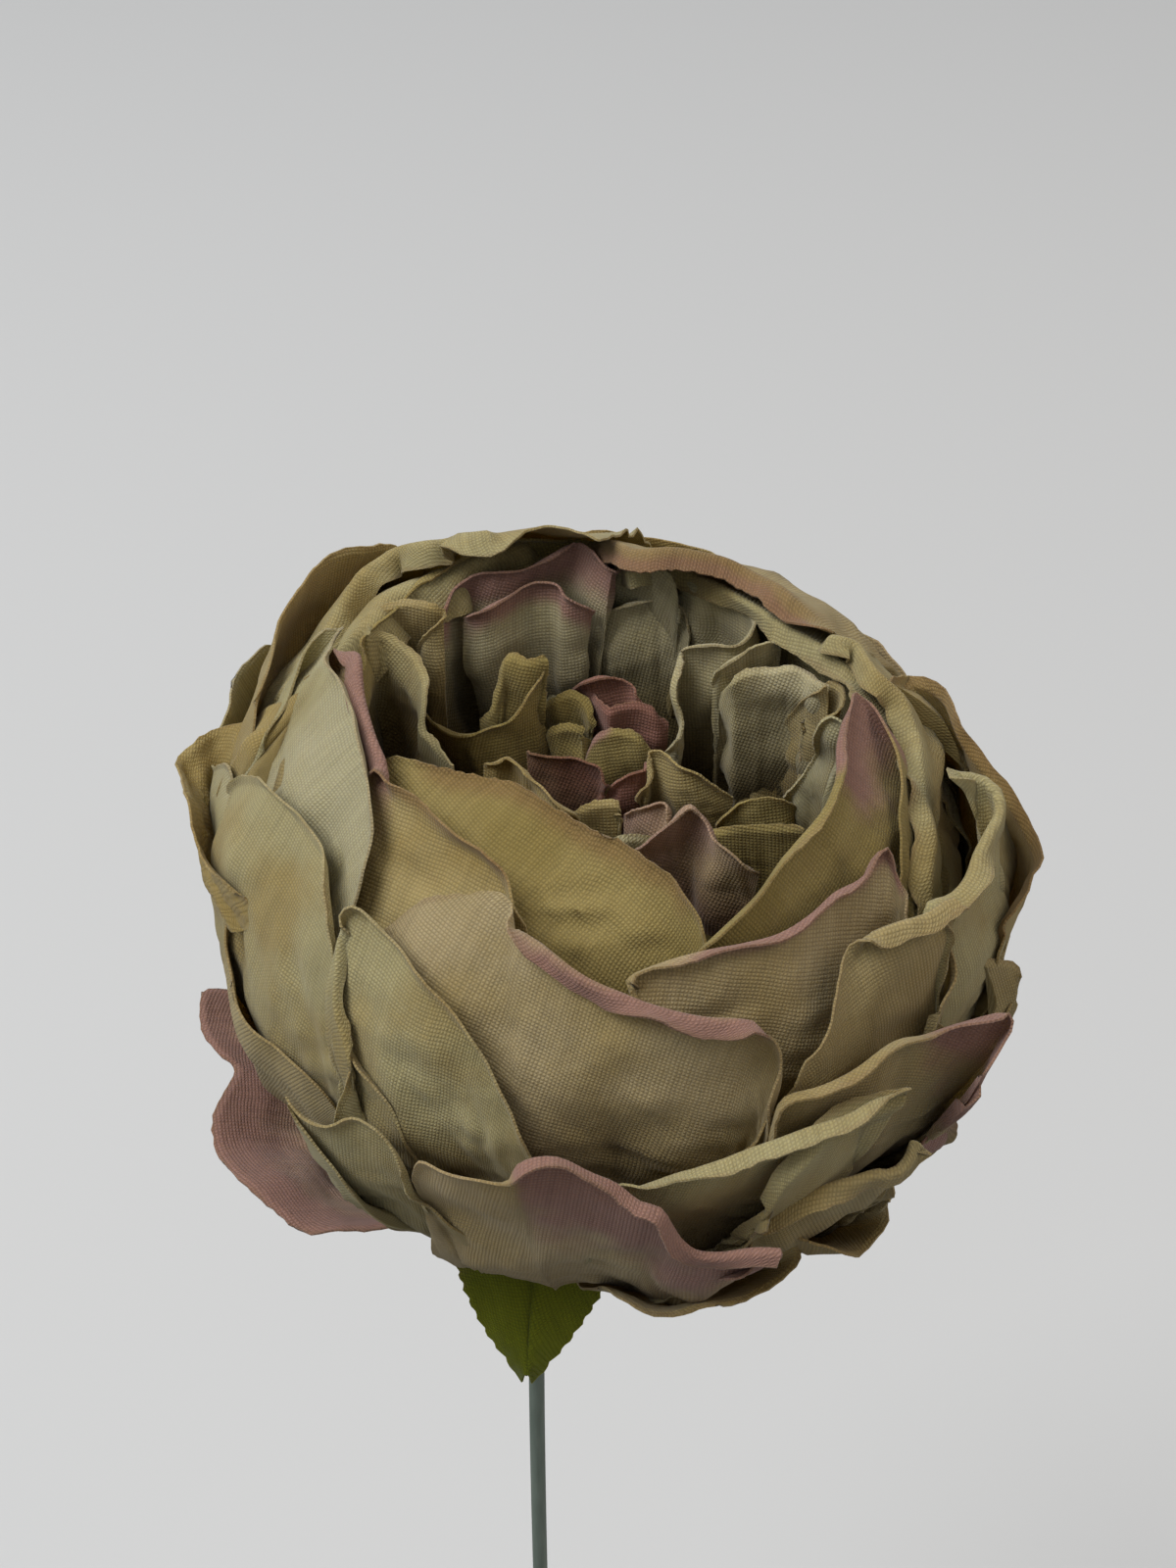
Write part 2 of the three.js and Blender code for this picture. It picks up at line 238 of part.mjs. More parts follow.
const RUFFLES = {
  ribbon: [[-13, 12], 0.75, 6,
    [[-22, 14, 19], [-22, 14.5, 23], [-19, 17, 29], [-16.5, 20, 31], [-13, 20, 32], [-10, 20.5, 32],
      [-7, 22, 33], [-4, 23, 34], [-1.5, 21, 34], [0.5, 19, 33], [-0.5, 20, 31]]],
  bowl: [[-8, 15], 0.6, 6,
    [[-17.5, 17.5, 26.5], [-15, 16, 29], [-13, 16.5, 30], [-10.5, 18.5, 30.5], [-8, 19, 31],
      [-6, 18.5, 31], [-5, 17.5, 30], [-2, 18, 28], [-3, 18.5, 26], [-5.5, 19, 23], [-8, 20, 20]]],
  striped: [[-20, 12], 0.85, 8,
    [[-28, 13.5, 29.5], [-26, 14.5, 30.5], [-23, 15, 31], [-19.5, 14, 31], [-19, 14, 30], [-20.5, 14, 28],
      [-21, 15, 24]]],
  left_wall: [[-27, -2], 0.85, 10,
    [[-28, 12, 30], [-27.5, 10.5, 30], [-25.5, 11.5, 29], [-22.5, 9.5, 28], [-21.5, 7, 27], [-21, 3, 26],
      [-21, 0, 24], [-19, -3, 24], [-17, -5, 23]]],
  cone: [[-12, 4], 0.7, 6,
    [[-21.5, 13, 17], [-18.5, 10, 17.5], [-16, 7.5, 18], [-12.5, 8, 19], [-9.5, 9.5, 21.5], [-7.5, 11, 24],
      [-7, 11.5, 26], [-9.5, 11.5, 25.5], [-11.5, 12, 25.5], [-12.5, 11.5, 22], [-13.5, 11, 19],
      [-15, 11.5, 17]]],
  shell_back: [[-4, 8], 0.75, 7,
    [[-8.5, 13, 16], [-7.5, 13, 18], [-6, 12, 20], [-4.5, 12, 20.5], [-3, 11, 20], [-2, 9.5, 18],
      [-1.5, 10.5, 15]]],
  shell_front: [[-4, 5], 0.8, 6,
    [[-8, 11.5, 14.5], [-7, 9.5, 17], [-5, 8.5, 18], [-3, 7.5, 18], [-2, 9, 16]]],
  heart_back: [[2, 10], 0.6, 6,
    [[-4, 14, 19.5], [-2.5, 12.5, 22], [-1, 12, 23], [1.5, 11.5, 22], [3, 10.5, 21], [4.5, 11.5, 19]]],
  heart_front: [[4, 6], 0.75, 6,
    [[-3, 13, 20], [-1.5, 10.5, 20.5], [0, 8.5, 20.5], [1.5, 9, 20.5], [3.5, 9.5, 20.5], [5.5, 9, 19.5],
      [7, 9.5, 18]]],
  shell_middle: [[1, 3], 0.75, 6,
    [[-3, 8, 14], [-2, 7.5, 17], [0, 7, 18.5], [1.5, 7, 18.5], [3.5, 6.5, 18], [5, 6.5, 16]]],
  shell_brown: [[-5, 2], 0.75, 6,
    [[-9.5, 4, 18], [-7.5, 3, 18.5], [-5.5, 2, 18.5], [-3, 1.5, 18.5], [-1, 1, 18], [-0.5, 0.5, 16.5],
      [-1, 1, 14]]],
  heart_pink: [[2, 0], 0.75, 6,
    [[-0.5, 2, 12], [0.5, 1.5, 15], [2, 1.5, 17], [4, 2, 17.5], [4.5, 3.5, 17]]],
  cream_fold: [[8, -3], 0.75, 6,
    [[3.5, 0.5, 13], [4, 0.5, 16.5], [4.5, 2, 19.5], [6, 1.5, 20], [8, -0.5, 19.5], [9.5, -1, 19],
      [11, -1, 17.5], [14, -0.5, 15]]],
  omega: [[12, 9], 0.8, 6,
    [[7.5, 21, 28], [8.5, 19.5, 31], [10.5, 18, 31], [13, 18, 31], [15, 16, 31], [16, 13.5, 30.5],
      [15.5, 10.5, 30], [14, 9, 29.5], [11.5, 9.5, 29.5], [9, 10, 29], [7.5, 10, 28], [7, 8, 27],
      [7.5, 6, 25], [8, 5, 23], [7.5, 4, 20], [6.5, 5.5, 17]]],
  block_back: [[16, 8], 0.85, 8,
    [[11.5, 5.5, 26], [12, 4.5, 29], [13, 5, 30.5], [15, 6, 31], [17.5, 6.5, 31], [19.5, 7.5, 30.5]]],
  block_front: [[18, 2], 0.8, 6,
    [[12, 7.5, 22], [12.5, 5, 26], [13.5, 2.5, 29], [15, 2.5, 30], [17.5, 3, 30], [19.5, 2.5, 30.5],
      [21.5, 2, 30], [22.5, 1, 30], [24, 0.5, 30]]],
  strip_middle: [[25, -4], 0.75, 8,
    [[14.5, 3.5, 12], [16, 3.5, 16], [18.5, 4, 20], [20.5, 2.5, 25], [22.5, 1, 28.5], [24, 0, 30.5]]],
  strip_edge: [[23, -3], 0.85, 6,
    [[22, 0.5, 18], [21.5, 1.5, 24], [22.5, 0.5, 28], [24, 0, 30], [24, -1, 29], [23.5, -1, 26]]],
  pale_right: [[23, -9], 0.85, 6,
    [[21.5, -1.5, 12], [21, -3, 18], [22.5, -4, 24], [23.5, -5, 29], [24, -5.5, 30], [25, -6, 29.5],
      [25, -6.5, 26], [23.5, -6, 20]]],
  olive_low: [[16, -7], 0.8, 5,
    [[12, -3.5, 13], [13, -4, 15.5], [14.5, -4, 17], [16.5, -4.5, 18], [18.5, -4.5, 18], [20, -4, 17],
      [21, -2, 13]]],
  front_mauve: [[8, -16], 0.7, 6,
    [[2.5, -13.5, 18], [4.5, -13.5, 20.5], [6.5, -13.5, 22.5], [8.5, -13, 24], [9.5, -13.5, 23],
      [11, -15.5, 21.5], [14, -16.5, 20], [16, -17, 18]]],
  small_mauve: [[4, -9], 0.75, 5,
    [[1.5, -2.5, 14], [3.5, -4, 16], [6, -5, 17.5], [6, -6.5, 16]]],
  small_cream: [[-2, -8], 0.75, 5,
    [[-4, -3, 15], [-3, -5, 17.5], [-1.5, -5.5, 18.5], [1, -6.5, 18], [1.5, -6.5, 16]]],
  sage_middle: [[4, 13], 0.75, 6,
    [[-4, 20.5, 20], [-2.5, 21, 23], [-0.5, 20, 26], [2, 19, 28], [5, 19, 28.5], [7, 18.5, 28.5],
      [8.5, 18, 27.5], [9.5, 17.5, 25]]],
  back_pale: [[4, 22], 0.9, 10,
    [[0, 23, 29], [1, 21.5, 32], [3.5, 20, 33], [6, 19, 33], [7.5, 17.5, 32], [8, 17.5, 29]]],
  olive_middle: [[-4, 14], 0.8, 6,
    [[-7, 23, 16], [-6.5, 21.5, 20], [-4.5, 21, 22], [-3, 20, 21.5], [-2, 21, 18]]],
  front_cream: [[-12, -9], 0.85, 10,
    [[-14, -3.5, 22], [-12.5, -4.5, 23], [-11, -4.5, 24], [-9, -6.5, 24], [-7.5, -9, 23.5],
      [-5, -10.5, 22.5], [-4, -10, 20], [-3.5, -8, 17]]],
  lining_right: [[8, 6], 0.85, 5,
    [[0, 27, 27], [7, 26.5, 29], [14, 23.5, 30], [20, 18, 30.5], [24.5, 11, 30.5], [27, 4, 30],
      [28, -2, 29]]],
  lining_left: [[-12, 8], 0.85, 5,
    [[-28, 4, 28], [-27, 11, 29.5], [-23, 18, 31], [-17, 23, 32], [-9, 26.5, 32.5], [-1, 27.5, 31]]],
  // behind the front rim, seen only from above and behind
  inner_front_left: [[-6, -6], 0.8, 5,
    [[-20, -6, 18], [-16, -12, 20], [-9, -15.5, 20], [-2, -17, 19.5], [3, -18, 17]]],
  inner_front_middle: [[2, -8], 0.8, 5,
    [[-12, -3, 14], [-9, -8, 16.5], [-3, -10.5, 17], [3, -9.5, 16.5], [7, -8, 14]]],
  inner_front_right: [[14, -8], 0.8, 5,
    [[8, -7, 14], [12, -9, 17], [17, -10, 18.5], [21, -11, 19]]],
  inner_left: [[-14, 2], 0.8, 5,
    [[-17, 5, 14], [-16, 0, 17], [-13, -2, 18], [-10, 0, 17], [-10, 3, 14]]],
};

// ---- helpers ---------------------------------------------------------------------------

const smooth = (x) => THREE.MathUtils.smoothstep(x, 0, 1);
const { lerp, degToRad } = THREE.MathUtils;

// A place on the ball of petals.
function onBall(azimuth, latitude, share) {
  const a = degToRad(azimuth);
  const l = degToRad(latitude);
  const r = share * BLOOM_RADIUS * Math.cos(l);
  return new THREE.Vector3(r * Math.sin(a), -r * Math.cos(a), share * BLOOM_HALF_HEIGHT * Math.sin(l));
}

// The two faces of a blade of even thickness round a grid of points, grid[column][row].
function evenFaces(grid, thickness) {
  const last = [grid.length - 1, grid[0].length - 1];
  return [0.5, -0.5].map((side) => grid.map((column, i) => column.map((point, j) => {
    const along = grid[Math.min(i + 1, last[0])][j].clone().sub(grid[Math.max(i - 1, 0)][j]);
    const up = column[Math.min(j + 1, last[1])].clone().sub(column[Math.max(j - 1, 0)]);
    return point.clone().addScaledVector(along.cross(up).normalize(), side * thickness);
  })));
}

// A closed blade between two grids of points. Both faces are split into triangles along the same
// diagonals, so they cannot cross.
function bladeGeometry([front, back]) {
  const columns = front.length;
  const rows = front[0].length;
  const positions = [...front.flat(), ...back.flat()].flatMap((point) => point.toArray());
  const at = (i, j, back) => i * rows + j + (back ? columns * rows : 0);
  const index = [];
  for (let i = 0; i < columns - 1; i++) {
    for (let j = 0; j < rows - 1; j++) {
      index.push(at(i, j), at(i + 1, j), at(i + 1, j + 1), at(i, j), at(i + 1, j + 1), at(i, j + 1));
      index.push(at(i, j, 1), at(i + 1, j + 1, 1), at(i + 1, j, 1));
      index.push(at(i, j, 1), at(i, j + 1, 1), at(i + 1, j + 1, 1));
    }
  }
  const strip = (p, q) => index.push(at(...p), at(...p, 1), at(...q, 1), at(...p), at(...q, 1), at(...q));
  for (let i = 0; i < columns - 1; i++) {
    strip([i, 0], [i + 1, 0]);
    strip([i + 1, rows - 1], [i, rows - 1]);
  }
  for (let j = 0; j < rows - 1; j++) {
    strip([0, j + 1], [0, j]);
    strip([columns - 1, j], [columns - 1, j + 1]);
  }
  const geometry = new THREE.BufferGeometry();
  geometry.setAttribute('position', new THREE.Float32BufferAttribute(positions, 3));
  geometry.setIndex(index);
  return geometry;
}

// A three.js geometry as a solid that can be joined and cut.
function toSolid(geometry) {
  const bare = geometry.clone();
  bare.deleteAttribute('normal');
  bare.deleteAttribute('uv');
  const merged = mergeVertices(bare, MERGE_DISTANCE);
  const corners = Array.from(merged.index.array);
  const triVerts = new Uint32Array(corners.length);
  let used = 0;
  for (let k = 0; k < corners.length; k += 3) {
    const [a, b, c] = corners.slice(k, k + 3);
    if (a === b || b === c || c === a) continue; // a facet that shrank to a line at a pole
    triVerts.set([a, b, c], used);
    used += 3;
  }
  const vertProperties = Float32Array.from(merged.attributes.position.array);
  return new wasm.Manifold(new wasm.Mesh({ numProp: 3, vertProperties, triVerts: triVerts.slice(0, used) }));
}

// A solid as a three.js geometry with flat facets.
function toGeometry(solid) {
  const mesh = solid.getMesh();
  const geometry = new THREE.BufferGeometry();
  geometry.setAttribute('position', new THREE.Float32BufferAttribute(mesh.vertProperties, 3));
  geometry.setIndex(Array.from(mesh.triVerts));
  return geometry;
}

// The largest body of a solid once its close vertices are merged, with what it sealed inside filled
// and loose scraps dropped.
function mainBody(solid) {
  const bodies = toSolid(toGeometry(solid)).decompose();
  return bodies.reduce((best, body) => (body.volume() > best.volume() ? body : best));
}

// A solid made round the bloom's centre, in its place over the vase.
function inPlace(solid) {
  return solid.translate(BLOOM_CENTRE.toArray());
}

function namedMesh(name, geometry, material) {
  geometry.computeVertexNormals();
  const mesh = new THREE.Mesh(geometry, material);
  mesh.name = name;
  return mesh;
}

// ---- bloom -----------------------------------------------------------------------------

// A cup petal's outer and inner faces: columns along its rim, rows from its root to its rim.
function cupFaces([[rootAzimuth, rootLatitude], rootWidth, waist, body, flare, rim]) {
  const leftToRight = rim[0][0] < rim.at(-1)[0] ? rim : [...rim].reverse();
  const places = leftToRight.map((place) => new THREE.Vector3(place[0], place[1], SHARE_SCALE * place[2]));
  const curve = new THREE.CatmullRomCurve3(places, false, 'centripetal');
  const outer = [];
  const inner = [];
  const columns = Math.min(CUP_COLUMNS, Math.round(rim.length * COLUMNS_PER_PLACE));
  for (const place of curve.getSpacedPoints(columns)) {
    const face = [];
    const back = [];
    for (let row = 0; row <= CUP_ROWS; row++) {
      const v = row / CUP_ROWS;
      const azimuth = rootAzimuth + (place.x - rootAzimuth) * lerp(rootWidth, 1, v);
      const latitude = lerp(rootLatitude, place.y, v);
      const wall = lerp(waist, body, smooth((latitude - WAIST_LATITUDE) / (BODY_LATITUDE - WAIST_LATITUDE)));
      const risen = lerp(ROOT_SHARE, wall, smooth(v / ROOT_PART));
      const point = onBall(azimuth, latitude, lerp(risen, place.z / SHARE_SCALE, v ** flare));
      const depth = RIM_DEPTH + ROOT_DEPTH * (1 - v) ** 2;
      face.push(point);
      back.push(point.clone().setLength(point.length() - depth));
    }
    outer.push(face);
    inner.push(back);
  }
  return [outer, inner];
}

// A ruffle's points: columns along its top edge, rows from its foot to that edge.
function ruffleGrid([[footX, footY], footWidth, footHeight, edge]) {
  const curve = new THREE.CatmullRomCurve3(edge.map((p) => new THREE.Vector3(...p)), false, 'centripetal');
  return curve.getSpacedPoints(Math.min(edge.length - 1, RUFFLE_COLUMNS)).map((top) => {
    const foot = new THREE.Vector3(
      lerp(footX, top.x, footWidth),
      lerp(footY, top.y, footWidth),
      footHeight,
    );
    const column = [];
    for (let row = 0; row <= RUFFLE_ROWS; row++) {
      const v = row / RUFFLE_ROWS;
      const out = v ** RUFFLE_LEAN;
      column.push(new THREE.Vector3(lerp(foot.x, top.x, out), lerp(foot.y, top.y, out), lerp(foot.z, top.z, v)));
    }
    return column;
  });
}

// The core that all petals grow from: an egg with a dished top.
function coreGeometry() {
  const shares = [[-90, 0.87], [-60, 0.9], [-40, 0.9], [-20, 0.9], [0, 0.9], [12, 0.87], [20, 0.82]];
  const profile = shares.map(([latitude, share]) => {
    const place = onBall(90, latitude, share);
    return new THREE.Vector2(Math.max(place.x, 0), place.z);
  });
  profile[0].x = 0;
  profile.push(new THREE.Vector2(26, 9), new THREE.Vector2(0, 8));
  return new THREE.LatheGeometry(profile, CORE_SIDES).rotateX(Math.PI / 2);
}

// The room that the calyx takes in the bloom's underside.
function calyxSeat() {
  const height = 14;
  const radius = CALYX_RADIUS + 1;
  const seat = new THREE.CylinderGeometry(radius, radius, height, ROUND_SIDES).rotateX(Math.PI / 2);
  return seat.translate(CALYX_AXIS.x, CALYX_AXIS.y, CALYX_TOP + SEAT_GAP - height / 2);
}

function bloomGeometry() {
  const blades = [
    ...Object.values(CUP_PETALS).map(cupFaces),
    ...Object.values(RUFFLES).map((ruffle) => evenFaces(ruffleGrid(ruffle), RUFFLE_THICKNESS)),
  ].map((faces) => toSolid(bladeGeometry(faces)));
  const fused = wasm.Manifold.union([toSolid(coreGeometry()), ...blades]);
  return toGeometry(mainBody(inPlace(fused.subtract(toSolid(calyxSeat())))));
}

// ---- calyx -----------------------------------------------------------------------------

// A pointed leaf below the bloom. Its length runs out from the calyx, and its tip droops.
function sepalGrid(azimuth, length, halfWidth, droop) {
  const out = new THREE.Vector3(Math.sin(degToRad(azimuth)), -Math.cos(degToRad(azimuth)), 0);
  const across = new THREE.Vector3(-out.y, out.x, 0);
  const grid = [];
  for (let i = 0; i <= SEPAL_COLUMNS; i++) {
    const column = [];
    for (let j = 0; j <= SEPAL_ROWS; j++) {
      const v = j / SEPAL_ROWS;
      const side = (2 * i) / SEPAL_COLUMNS - 1;
      const taper = Math.max(0, (v - SEPAL_SHOULDER) / (1 - SEPAL_SHOULDER));
      const width = halfWidth * lerp(0.35, 1, smooth(v / SEPAL_SHOULDER)) * (1 - 0.96 * taper ** 1.9);
      const height = SEPAL_ROOT.y - droop * v ** 2.2 - 1.5 * side * side;
      const point = new THREE.Vector3(CALYX_AXIS.x, CALYX_AXIS.y, height);
      column.push(point.addScaledVector(out, SEPAL_ROOT.x + length * v).addScaledVector(across, side * width));
    }
    grid.push(column);
  }
  return grid;
}

// Azimuth, length, half width and droop.
const SEPALS = [[-4, 22, 10, 11.5], [68, 18, 8.5, 4], [140, 17, 8, 5], [212, 18, 8.5, 4.5], [284, 17, 8, 6]];

function calyxGeometry() {
  const bore = STEM_RADIUS + SEAT_GAP;
  const cup = new THREE.LatheGeometry([
    new THREE.Vector2(0, CALYX_TOP),
    new THREE.Vector2(0, CALYX_TOP - 4),
    new THREE.Vector2(bore, CALYX_TOP - 4),
    new THREE.Vector2(bore, CALYX_BOTTOM),
    new THREE.Vector2(2.6, CALYX_BOTTOM),
    new THREE.Vector2(4.2, -43.2),
    new THREE.Vector2(7.5, -41.2),
    new THREE.Vector2(CALYX_RADIUS, CALYX_TOP - 2),
    new THREE.Vector2(CALYX_RADIUS, CALYX_TOP),
    new THREE.Vector2(0, CALYX_TOP),
  ], ROUND_SIDES).rotateX(Math.PI / 2).translate(CALYX_AXIS.x, CALYX_AXIS.y, 0);
  const sepals = SEPALS.map((sepal) => toSolid(bladeGeometry(evenFaces(sepalGrid(...sepal), SEPAL_THICKNESS))));
  return toGeometry(mainBody(inPlace(wasm.Manifold.union([toSolid(cup), ...sepals]))));
}

// ---- stem ------------------------------------------------------------------------------

// Down from the calyx, straight through the neck, then across the belly to the vase's floor.
function stemCurve(top, bottom) {
  const calyxX = BLOOM_CENTRE.x + CALYX_AXIS.x;
  return new THREE.CatmullRomCurve3([
    new THREE.Vector3(calyxX, 0, top),
    new THREE.Vector3(calyxX, 0, BLOOM_CENTRE.z + CALYX_BOTTOM),
    new THREE.Vector3(STEM_X + 0.5, 0, 236),
    new THREE.Vector3(STEM_X, 0, 205),
    new THREE.Vector3(STEM_X, 0, 145),
    new THREE.Vector3(STEM_X + 0.4, 0, 118),
    new THREE.Vector3(-2.2, 0, 72),
    new THREE.Vector3(3, 0, 36),
    new THREE.Vector3(8, 0, bottom),
  ], false, 'centripetal');
}

function roundShape(radius) {
  return new THREE.Shape().absarc(0, 0, radius, 0, 2 * Math.PI);
}

function alongStem(shape, top, bottom) {
  const extrudePath = stemCurve(top, bottom);
  return new THREE.ExtrudeGeometry(shape, { extrudePath, steps: STEM_STEPS, curveSegments: STEM_SEGMENTS });
}

const STEM_TOP = BLOOM_CENTRE.z + CALYX_TOP - 4 - SEAT_GAP;
const STEM_BOTTOM = VASE_FLOOR + 0.7;

function sleeveGeometry() {
  const ring = roundShape(STEM_RADIUS);
  ring.holes.push(roundShape(SLEEVE_BORE));
  return alongStem(ring, STEM_TOP, STEM_BOTTOM);
}

function wireGeometry() {
  return alongStem(roundShape(WIRE_RADIUS), STEM_TOP - WIRE_SHORTER, STEM_BOTTOM + WIRE_SHORTER);
}

// ---- vase ------------------------------------------------------------------------------

function vaseGeometry() {
  const outside = new THREE.SplineCurve([
    new THREE.Vector2(VASE_FOOT_RADIUS - 2, 1.2),
    new THREE.Vector2(VASE_BELLY_RADIUS - 1.6, 22),
    new THREE.Vector2(VASE_BELLY_RADIUS, VASE_BELLY_HEIGHT),
    new THREE.Vector2(31, 66),
    new THREE.Vector2(17.5, 88),
    new THREE.Vector2(VASE_NECK_RADIUS + 0.6, 105),
    new THREE.Vector2(VASE_NECK_RADIUS, 120),
    new THREE.Vector2(VASE_LIP_RADIUS - 0.4, VASE_HEIGHT - 1.4),
  ]).getPoints(VASE_STEPS);
  const inside = new THREE.SplineCurve([
    new THREE.Vector2(VASE_LIP_RADIUS - 2.6, VASE_HEIGHT - 0.4),
    new THREE.Vector2(VASE_NECK_BORE, 123),
    new THREE.Vector2(VASE_NECK_BORE, 104),
    new THREE.Vector2(13.6, 88),
    new THREE.Vector2(31 - VASE_WALL, 65),
    new THREE.Vector2(VASE_BELLY_RADIUS - VASE_WALL, VASE_BELLY_HEIGHT),
    new THREE.Vector2(VASE_BELLY_RADIUS - VASE_WALL - 2.6, 20),
    new THREE.Vector2(20, VASE_FLOOR),
  ]).getPoints(VASE_STEPS);
  const profile = [
    new THREE.Vector2(0, 0),
    new THREE.Vector2(VASE_FOOT_RADIUS - 3, 0),
    ...outside,
    new THREE.Vector2(VASE_LIP_RADIUS - 1.2, VASE_HEIGHT),
    ...inside,
    new THREE.Vector2(0, VASE_FLOOR),
  ];
  return new THREE.LatheGeometry(profile, VASE_SIDES).rotateX(Math.PI / 2);
}

// ---- assembly --------------------------------------------------------------------------

const peonyInVase = new THREE.Group();
peonyInVase.add(
  namedMesh('bloom', bloomGeometry(), petalCloth),
  namedMesh('calyx', calyxGeometry(), leafCloth),
  namedMesh('stem_sleeve', sleeveGeometry(), greenPlastic),
  namedMesh('stem_wire', wireGeometry(), steelWire),
  namedMesh('vase', vaseGeometry(), glazedClay),
);

export default peonyInVase;
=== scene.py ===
# %% [markdown]
# # A cloth peony in a bud vase
# This lesson builds the looks of one artificial flower: petals of dyed plain-weave cloth round a
# small core, a green cloth calyx, a wire stem in a plastic sleeve, and a plain glazed bud vase.
# The solids were made before and arrive as a fixed frame. Every piece made here stands in the
# place of one of those solids, in metres, with +Z up and the origin under the vase's foot.

import math

import bpy
import numpy as np
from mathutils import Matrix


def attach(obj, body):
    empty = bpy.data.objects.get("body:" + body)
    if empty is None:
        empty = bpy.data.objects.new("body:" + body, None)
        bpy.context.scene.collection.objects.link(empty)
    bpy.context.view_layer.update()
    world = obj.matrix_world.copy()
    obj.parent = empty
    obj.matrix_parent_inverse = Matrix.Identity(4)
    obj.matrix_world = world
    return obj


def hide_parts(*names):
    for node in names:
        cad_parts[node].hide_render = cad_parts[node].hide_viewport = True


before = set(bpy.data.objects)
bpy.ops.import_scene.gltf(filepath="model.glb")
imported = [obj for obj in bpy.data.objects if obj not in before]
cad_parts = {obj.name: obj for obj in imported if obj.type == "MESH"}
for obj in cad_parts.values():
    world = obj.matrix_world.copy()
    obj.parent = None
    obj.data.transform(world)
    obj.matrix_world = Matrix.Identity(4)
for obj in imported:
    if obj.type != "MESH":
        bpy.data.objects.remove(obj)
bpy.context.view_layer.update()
print("nodes:", sorted(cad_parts))

# %% Units and small helpers
MM = 0.001
CLOTH_ANGLE, TURNED_ANGLE = 55, 50  # faces that meet at less than this, in degrees, look smooth


def lerp(a, b, t):
    return a + (b - a) * t


def smooth(x):
    """An even S-shaped step from 0 to 1."""
    x = np.clip(x, 0.0, 1.0)
    return x * x * (3.0 - 2.0 * x)


def linear(hex_colour):
    """An sRGB colour such as "97895a" as the linear RGBA that a shader socket holds."""
    shares = [int(hex_colour[k:k + 2], 16) / 255 for k in (0, 2, 4)]
    return [s / 12.92 if s <= 0.04045 else ((s + 0.055) / 1.055) ** 2.4 for s in shares] + [1.0]


def deselect():
    bpy.ops.object.select_all(action="DESELECT")


def linked(name, data):
    """A new object of some data, in the scene, and alone picked."""
    piece = bpy.data.objects.new(name, data)
    bpy.context.collection.objects.link(piece)
    deselect()
    piece.select_set(True)
    bpy.context.view_layer.objects.active = piece
    return piece


def apply_modifiers(piece):
    bpy.context.view_layer.objects.active = piece
    for name in [modifier.name for modifier in piece.modifiers]:
        bpy.ops.object.modifier_apply(modifier=name)


def hand_in(piece, name, material, slot, *nodes):
    """Names a finished piece, gives it its material, hangs it from the root body and hides the solids that it
    stands for.
    """
    piece.name = piece.data.name = name
    piece.data.materials.clear()
    piece.data.materials.append(material)
    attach(piece, "root")
    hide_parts(*nodes)
    return piece


# %% [markdown]
# ## The camera
# A photographer's macro view is a camera close to the flower, looking down on it. A camera can be
# aimed with a constraint, but here its place is worked out from the angle and the distance,
# because then the same numbers also say where a lip or a crease has to be to show.

# %% The camera
BLOOM_CENTRE = np.array([3.9, 0.0, 295.0])
VIEW_DOWN = math.radians(38)
VIEW_DISTANCE = 275.0
VIEW_RIGHT, VIEW_UP = -2.4, 13.0  # the middle of the picture, from the bloom's centre
LENS = 54.0

ahead = np.array([0.0, math.cos(VIEW_DOWN), -math.sin(VIEW_DOWN)])
above = np.array([0.0, math.sin(VIEW_DOWN), math.cos(VIEW_DOWN)])
eye = BLOOM_CENTRE + above * VIEW_UP - ahead * VIEW_DISTANCE + np.array([VIEW_RIGHT, 0.0, 0.0])
bpy.ops.object.camera_add(location=eye * MM, rotation=(math.pi / 2 - VIEW_DOWN, 0.0, 0.0))
camera = bpy.context.object
camera.data.lens = LENS
camera.data.sensor_width = 36.0
camera.data.clip_start = 0.01
bpy.context.scene.camera = camera
print("camera at", [round(float(x)) for x in eye], "mm")

# %% [markdown]
# ## Floor and light
# The flower stands on a wide pale surface under soft light. One large lamp high on the left is the
# window, a weaker one on the right keeps the shadows open, and the world is a plain grey sky.
# Large lamps are chosen because cloth shows its folds best in soft light from one side.

# %% Floor and light
FLOOR_SIZE = 8.0


def join(tree, source, node, target):
    """Links a socket, or a node's first output, to an input of a node."""
    tree.links.new(source.outputs[0] if hasattr(source, "outputs") else source, node.inputs[target])


def add(tree, kind, links=(), **settings):
    """Adds a node, sets its properties and its unlinked inputs, and links (source, input) pairs."""
    node = tree.nodes.new("ShaderNode" + kind)
    for key, value in settings.items():
        if key.startswith("in_"):
            name = key[3:].replace("_", " ")
            name = int(name) if name.isdigit() else name
            node.inputs[name].default_value = linear(value) if type(value) == str else value
        else:
            setattr(node, key, value)
    for source, target in links:
        join(tree, source, node, target)
    return node


def new_material(name, **values):
    """A material with its node tree and its shader, whose unlinked inputs get the values given."""
    material = bpy.data.materials.new(name)
    material.use_nodes = True
    tree = material.node_tree
    shader = tree.nodes["Principled BSDF"]
    for key, value in values.items():
        shader.inputs[key.replace("_", " ")].default_value = linear(value) if type(value) == str else value
    return material, tree, shader


bpy.ops.mesh.primitive_plane_add(size=FLOOR_SIZE)
floor = bpy.context.object
floor.name = "floor"
paper, _, _ = new_material("pale_paper", Base_Color="cacbc9", Roughness=0.9, Specular_IOR_Level=0.1)
floor.data.materials.append(paper)


